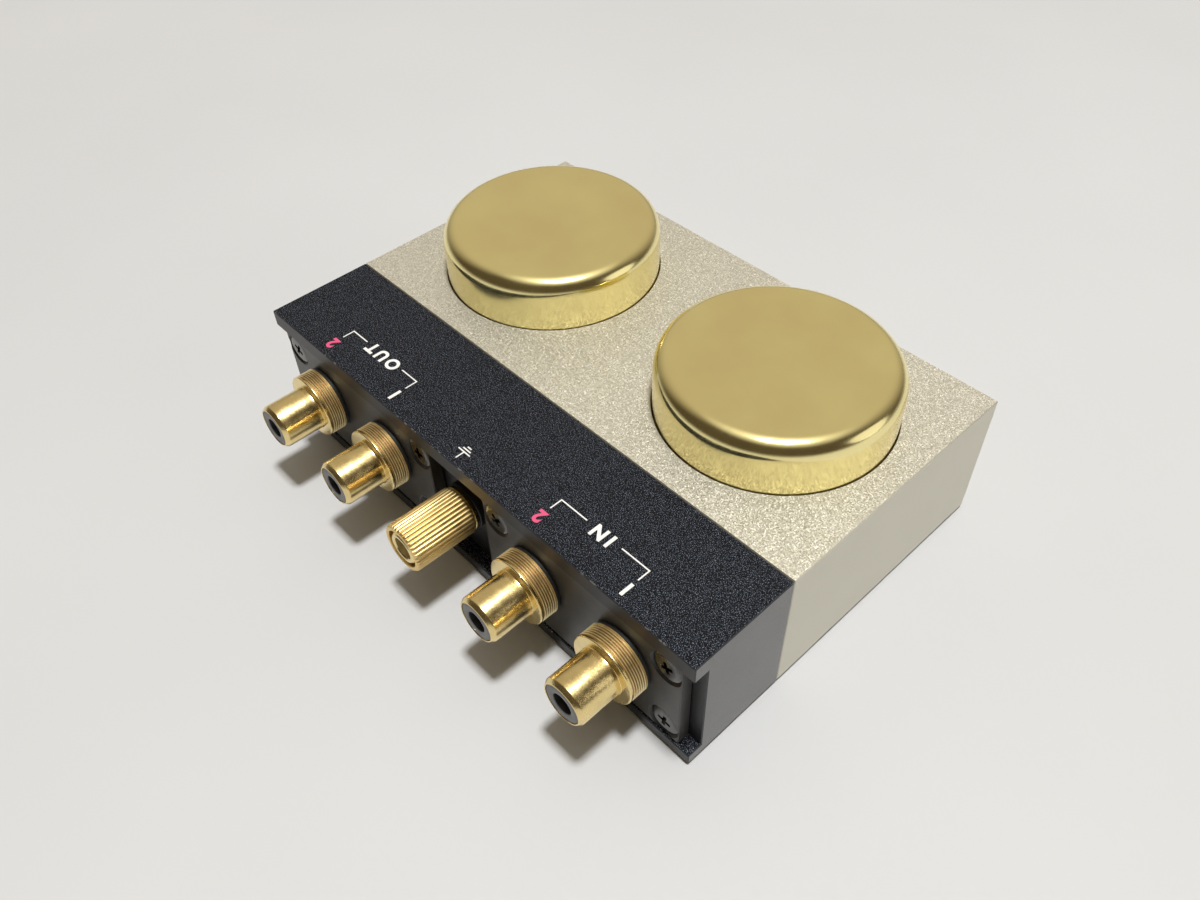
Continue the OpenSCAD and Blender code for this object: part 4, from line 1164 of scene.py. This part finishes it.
class TRANSFORMER_OT_ground_terminal(bpy.types.Operator):
    """Models the ground post, its spacer, the loose washer and the ridged knob"""

    bl_idname = "transformer.ground_terminal"
    bl_label = "Ground terminal"

    place = (0, GROOVE_Y, SOCKET_Z)

    # Bore of the post, and of the spacer, the washer and the knob round it
    post_bore = 2.05
    running_bore = 3.05

    def execute(self, context):
        gold = finish("gold_plated", socket_finish)
        black = finish("black_washer", black_plastic_and_shade_finish)
        done(turned_out("ground_terminal_spacer", self.place, self.spacer()), black, "root",
             "black_plastic", "ground_spacer")
        post = turned_out("ground_terminal_post", self.place, self.post())
        done(post, gold, "root", "gold_plate", "ground_post")
        # The bore gets the lighter thread gold: painted light inside the bore.
        face_finish(post, finish("thread_gold", lit_thread_finish), self.in_bore)
        done(turned_out("ground_terminal_washer", self.place, self.washer()), gold,
             "ground_washer", "gold_plate", "ground_washer")
        done(self.knob(), finish("knurled_gold", knob_finish), "ground_knob", "gold_plate",
             "ground_knob")
        return {"FINISHED"}

    def spacer(self):
        """Ring with a seat for the post's shoulder, as (radius, reach)."""
        outside, front, seat_r, seat = 4.3, 1.4, 3.65, 0.6
        return [(self.running_bore, 0), (outside - 0.1, 0), (outside, 0.1), (outside, front - 0.1),
                (outside - 0.1, front), (seat_r, front), (seat_r, seat), (self.running_bore, seat)]

    def post(self):
        """Post with a plug bore, a shoulder and a tail, as (radius, reach)."""
        outside, shoulder, tip, tail = POST_R / MM, 3.6, 14.15, -8.7
        seat, front = 0.6, 1.4
        return [(0, 3.15), (self.post_bore, 3.15), (self.post_bore, tip - 0.2),
                (self.post_bore + 0.15, tip), (outside - 0.35, tip), (outside, tip - 0.35),
                (outside, front), (shoulder - 0.1, front), (shoulder, front - 0.1),
                (shoulder, seat), (outside, seat), (outside, tail + 0.3), (outside - 0.3, tail),
                (0, tail)]

    def washer(self):
        """Loose washer with rounded rims, as (radius, reach)."""
        outside, back, front = 4.1, 1.45, 2.2
        return [(self.running_bore, back), (outside - 0.1, back), (outside, back + 0.1),
                (outside, front - 0.1), (outside - 0.1, front), (self.running_bore, front)]

    def in_bore(self, face):
        """True for a face inside the post's bore."""
        reach = (self.post_bore + 0.05) * MM
        return all(from_axis(vertex.co, 0, SOCKET_Z) < reach for vertex in face.verts)

    def knob(self):
        """Turned body whose outer wall is then pressed in between the ridges."""
        start, end, radius, mouth = 2.25, 14.25, 4.4, 3.5
        profile = [(self.running_bore, start), (4.0, start), (4.1, start + 0.05),
                   (radius, start + 0.35), (radius, end - 0.4), (4.12, end - 0.06), (4.0, end),
                   (mouth + 0.1, end), (mouth, end - 0.1), (mouth, end - 1.5),
                   (self.running_bore, end - 1.5)]
        # How deep each step of one ridge is pressed, as a share of the groove
        shape = (0.0, 0.02, 0.12, 0.5, 0.95, 0.5, 0.12, 0.02)
        steps = sizes().knob_ridges * len(shape)
        piece = turned_out("ground_terminal_knob", self.place, profile, steps)

        def pressed(vertex):
            across, upright = vertex.co.x, vertex.co.z - SOCKET_Z
            if math.hypot(across, upright) <= (radius - 0.02) * MM:
                return 0.0
            return shape[round(math.atan2(upright, across) / (2 * math.pi) * steps) % len(shape)]

        for share in sorted(set(shape) - {0.0}):
            select_where(piece, "VERT", lambda vertex: pressed(vertex) == share)
            ratio = 1 - share * sizes().knob_groove / MM / radius
            bpy.ops.transform.resize(value=(ratio, 1, ratio), center_override=self.place)
        bpy.ops.object.mode_set(mode="OBJECT")
        return piece


class TRANSFORMER_OT_deck_marks(bpy.types.Operator):
    """Prints plain marks for in, out, the two channels and ground on the black deck"""

    bl_idname = "transformer.deck_marks"
    bl_label = "Deck marks"

    # Group, word, where its two channels stand along the deck and how far back its brackets lie
    groups = (("output", "OUT", -37.0, -18.35, -28.7), ("input", "IN", 18.4, 36.95, -28.8))
    channel_drop = 4.4
    word_drop = 0.2
    leg = 2.2
    letter_half = 1.5
    letter_gap = 0.8

    # Ground mark: where its stem stands, starts and ends, and each bar's half width and place
    stem = (0.2, -34.7, -33.1)
    bars = ((1.3, -33.1), (0.8, -32.55), (0.35, -32.0))

    def execute(self, context):
        white = finish("white_print", ink_finish, tone("white_ink"))
        pink = finish("pink_print", ink_finish, tone("pink_ink"))
        for group, word, right_x, left_x, y in self.groups:
            centre = (right_x + left_x) / 2
            half = len(word) * self.letter_half + self.letter_gap
            self.letters(group + "_word_mark", word, centre, y - self.word_drop, white)
            self.letters(group + "_right_mark", "2", right_x, y - self.channel_drop, pink)
            self.letters(group + "_left_mark", "1", left_x, y - self.channel_drop, white)
            ends = (("right", right_x, centre - half), ("left", left_x, centre + half))
            for side, x, stop in ends:
                arm, leg = self.strip((x, y), (stop, y)), self.strip((x, y), (x, y - self.leg))
                self.printed(f"{group}_{side}_bracket", arm, [leg], white)
        x, start, end = self.stem
        stem = self.strip((x, start), (x, end))
        bars = [self.strip((x - half, y), (x + half, y)) for half, y in self.bars]
        self.printed("ground_mark", stem, bars, white)
        return {"FINISHED"}

    def printed(self, name, strip, others, look):
        """One mark from several printed lines."""
        combine(strip, others, "UNION")
        strip.name = strip.data.name = name
        done(strip, look, "root", "black_aluminium")

    def strip(self, start, end):
        """A printed line along X or Y between two points in mm."""
        half = sizes().mark_line / 2 / MM
        (x0, x1), (y0, y1) = sorted((start[0], end[0])), sorted((start[1], end[1]))
        return block("strip", ((x0 - half) * MM, (y0 - half) * MM, DECK_Z - sizes().ink),
                     ((x1 + half) * MM, (y1 + half) * MM, DECK_Z + sizes().ink))

    def letters(self, name, word, x, y, look):
        """A printed word that reads from the champagne side."""
        height, capital, weight, spacing = sizes().mark_height, 0.7, 0.06, 1.4
        deselect_all()
        bpy.ops.object.text_add(location=(0, 0, 0))
        text = bpy.context.object.data
        text.body = word
        text.size = height / capital
        text.align_x = "CENTER"
        text.align_y = "CENTER"
        text.extrude = sizes().ink
        text.offset = weight * height
        text.space_character = spacing
        bpy.ops.object.convert(target="MESH")
        piece = named(name)
        bpy.ops.object.mode_set(mode="EDIT")
        close_up()
        piece.rotation_euler = (0, 0, math.pi)
        piece.location = (x * MM, y * MM, DECK_Z)
        apply_place()
        done(piece, look, "root", "black_aluminium")


class TRANSFORMER_OT_inside(bpy.types.Operator):
    """Finishes the CAD pieces inside the housings"""

    bl_idname = "transformer.inside"
    bl_label = "Inside pieces"

    def execute(self, context):
        cover = finish("base_cover", plate_finish)
        zinc = finish("zinc_steel", plain_metal_finish, (0.55, 0.56, 0.58), 0.38)
        tin = finish("tinned_brass", plain_metal_finish, (0.66, 0.65, 0.60), 0.28)
        gold = finish("gold_plated", socket_finish)
        red = finish("red_lead", plain_plastic_finish, (0.42, 0.03, 0.03), 0.5)
        looks = {
            "transformer_cover": cover, "terminal_cover": cover,
            "transformer_cover_screws": zinc, "terminal_cover_screws": zinc, "housing_screws": zinc,
            "terminal_pins": tin, "jack_solder_lugs": tin, "ground_tag": tin,
            "jack_rear_washers": finish("black_washer", black_plastic_and_shade_finish),
            "jack_nuts": gold, "ground_nut": gold,
            "ground_lead": finish("green_lead", plain_plastic_finish, (0.03, 0.22, 0.06), 0.5)}
        for side in SIDES:
            looks.update({
                side + "_input_leads": red, side + "_output_leads": red,
                side + "_clamp_ring": zinc, side + "_core_strap": zinc,
                side + "_terminal_board": finish(
                    "fibre_board", plain_plastic_finish, (0.20, 0.10, 0.04), 0.6, 900),
                side + "_core": finish(
                    "core_stack", layered_finish, (0.32, 0.33, 0.35), (0.06, 0.06, 0.07),
                    0.35, "Y", 0.8, 0.42),
                side + "_bobbin": finish("bobbin", plain_plastic_finish, (0.70, 0.66, 0.54), 0.45),
                side + "_primary_winding": finish(
                    "thick_wire", layered_finish, (0.62, 0.28, 0.12), (0.16, 0.05, 0.02),
                    0.3, "Z", 0.9, 0.3),
                side + "_secondary_winding": finish(
                    "thin_wire", layered_finish, (0.55, 0.24, 0.10), (0.14, 0.05, 0.02),
                    0.12, "Z", 0.9, 0.32),
                side + "_foam_disc": finish("foam", foam_finish)})
        for node, look in looks.items():
            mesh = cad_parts[node].data
            mesh.materials.clear()
            mesh.materials.append(look)
        return {"FINISHED"}


# The room: its own tone, its pale patches as (direction, cosine at the rim, cosine at the core,
# tone), and the band along the horizon, from the height where it starts to where it is full
ROOM_TONE = (0.082, 0.064, 0.043)
ROOM_PATCHES = (
    ((-0.54, 0.58, 0.61), 0.27, 0.97, (0.44, 0.40, 0.33)),
    ((0.12, -0.02, 0.99), 0.80, 1.0, (0.54, 0.525, 0.475)),
)
HORIZON = (0.17, 0.03)
HORIZON_TONE = (0.33, 0.32, 0.30)

# Lamps as (name, place, size, power, tone), and the camera of the photograph
LAMPS = (
    ("ceiling_lamp", (0.215, -0.02, 1.6), 0.2, 22.8, (1.0, 0.992, 0.975)),
    ("side_lamp", (0.8, 0.45, 0.33), 0.6, 0.8, (1.0, 0.98, 0.94)),
)
FLOOR_SIZE = 6
CAMERA_PLACE = (0.097422, -0.092009, 0.143332)
CAMERA_TURN = (43.5158, 1.3009, 46.5809)
CAMERA_LENS = 30.8082
CAMERA_SENSOR = 36
CAMERA_NEAR = 0.005


class TRANSFORMER_OT_stage(bpy.types.Operator):
    """Sets the pale floor, the soft light and the camera"""

    bl_idname = "transformer.stage"
    bl_label = "Stage"

    def execute(self, context):
        scene = context.scene
        scene.view_settings.view_transform = "Standard"
        deselect_all()
        bpy.ops.mesh.primitive_plane_add(size=FLOOR_SIZE, location=(0, 0, 0))
        floor = named("floor")
        floor.data.materials.append(finish("pale_board", floor_finish))
        for lamp in LAMPS:
            self.lamp(*lamp)
        self.world(scene)
        bpy.ops.object.camera_add(
            location=CAMERA_PLACE, rotation=[math.radians(turn) for turn in CAMERA_TURN])
        camera = bpy.context.object
        camera.name = "photo_camera"
        camera.data.sensor_fit = "HORIZONTAL"
        camera.data.sensor_width = CAMERA_SENSOR
        camera.data.lens = CAMERA_LENS
        camera.data.clip_start = CAMERA_NEAR
        scene.camera = camera
        return {"FINISHED"}

    def lamp(self, name, place, size, power, shade):
        """A soft round lamp that looks at the middle of the floor."""
        bpy.ops.object.light_add(type="AREA", location=place)
        lamp = bpy.context.object
        lamp.name = name
        lamp.data.shape = "DISK"
        lamp.data.size = size
        lamp.data.energy = power
        lamp.data.color = shade
        lamp.rotation_euler = (-Vector(place)).to_track_quat("-Z", "Y").to_euler()

    def world(self, scene):
        """A dark warm room with a pale wall on the far side, a ceiling glow and a pale horizon."""
        scene.world = bpy.data.worlds.new("room")
        room = NodeTree(scene.world, "Generated")
        shade = ROOM_TONE
        for direction, rim, core, glow in ROOM_PATCHES:
            toward = room.vector("DOT_PRODUCT", "Value", room.place, Vector(direction).normalized())
            share = room.span(toward, 0.0, 1.0, rim, core, "SMOOTHSTEP")
            shade = room.mix(share, shade, glow, "ADD")
        share = room.span(room.along("Z"), 0.0, 1.0, *HORIZON, "SMOOTHSTEP")
        shade = room.mix(share, shade, HORIZON_TONE)
        room.links.new(shade, room.nodes["Background"].inputs["Color"])


OPERATORS = (
    TRANSFORMER_OT_stage,
    TRANSFORMER_OT_champagne_housing,
    TRANSFORMER_OT_black_housing,
    TRANSFORMER_OT_pads,
    TRANSFORMER_OT_cans,
    TRANSFORMER_OT_jack_plates,
    TRANSFORMER_OT_plate_screws,
    TRANSFORMER_OT_sockets,
    TRANSFORMER_OT_ground_terminal,
    TRANSFORMER_OT_deck_marks,
    TRANSFORMER_OT_inside,
)


class TRANSFORMER_PT_dressing(bpy.types.Panel):
    """Lists the sizes, the colours and the pieces"""

    bl_idname = "TRANSFORMER_PT_dressing"
    bl_label = "Step-up transformer"
    bl_space_type = "VIEW_3D"
    bl_region_type = "UI"
    bl_category = "Transformer"

    def draw(self, context):
        for group in (context.scene.transformer_sizes, context.scene.transformer_colours):
            column = self.layout.column(align=True)
            for name in type(group).__annotations__:
                column.prop(group, name)
        column = self.layout.column(align=True)
        for operator in OPERATORS:
            column.operator(operator.bl_idname)


CLASSES = (TransformerSizes, TransformerColours, *OPERATORS, TRANSFORMER_PT_dressing)


def register():
    for entry in CLASSES:
        bpy.utils.register_class(entry)
    bpy.types.Scene.transformer_sizes = PointerProperty(type=TransformerSizes)
    bpy.types.Scene.transformer_colours = PointerProperty(type=TransformerColours)


def unregister():
    del bpy.types.Scene.transformer_colours
    del bpy.types.Scene.transformer_sizes
    for entry in reversed(CLASSES):
        bpy.utils.unregister_class(entry)


def main():
    register()
    bpy.ops.transformer.stage()
    bpy.ops.transformer.champagne_housing()
    bpy.ops.transformer.black_housing()
    bpy.ops.transformer.pads()
    bpy.ops.transformer.cans()
    bpy.ops.transformer.jack_plates()
    bpy.ops.transformer.plate_screws()
    bpy.ops.transformer.sockets()
    bpy.ops.transformer.ground_terminal()
    bpy.ops.transformer.deck_marks()
    bpy.ops.transformer.inside()


if __name__ == "__main__":
    main()
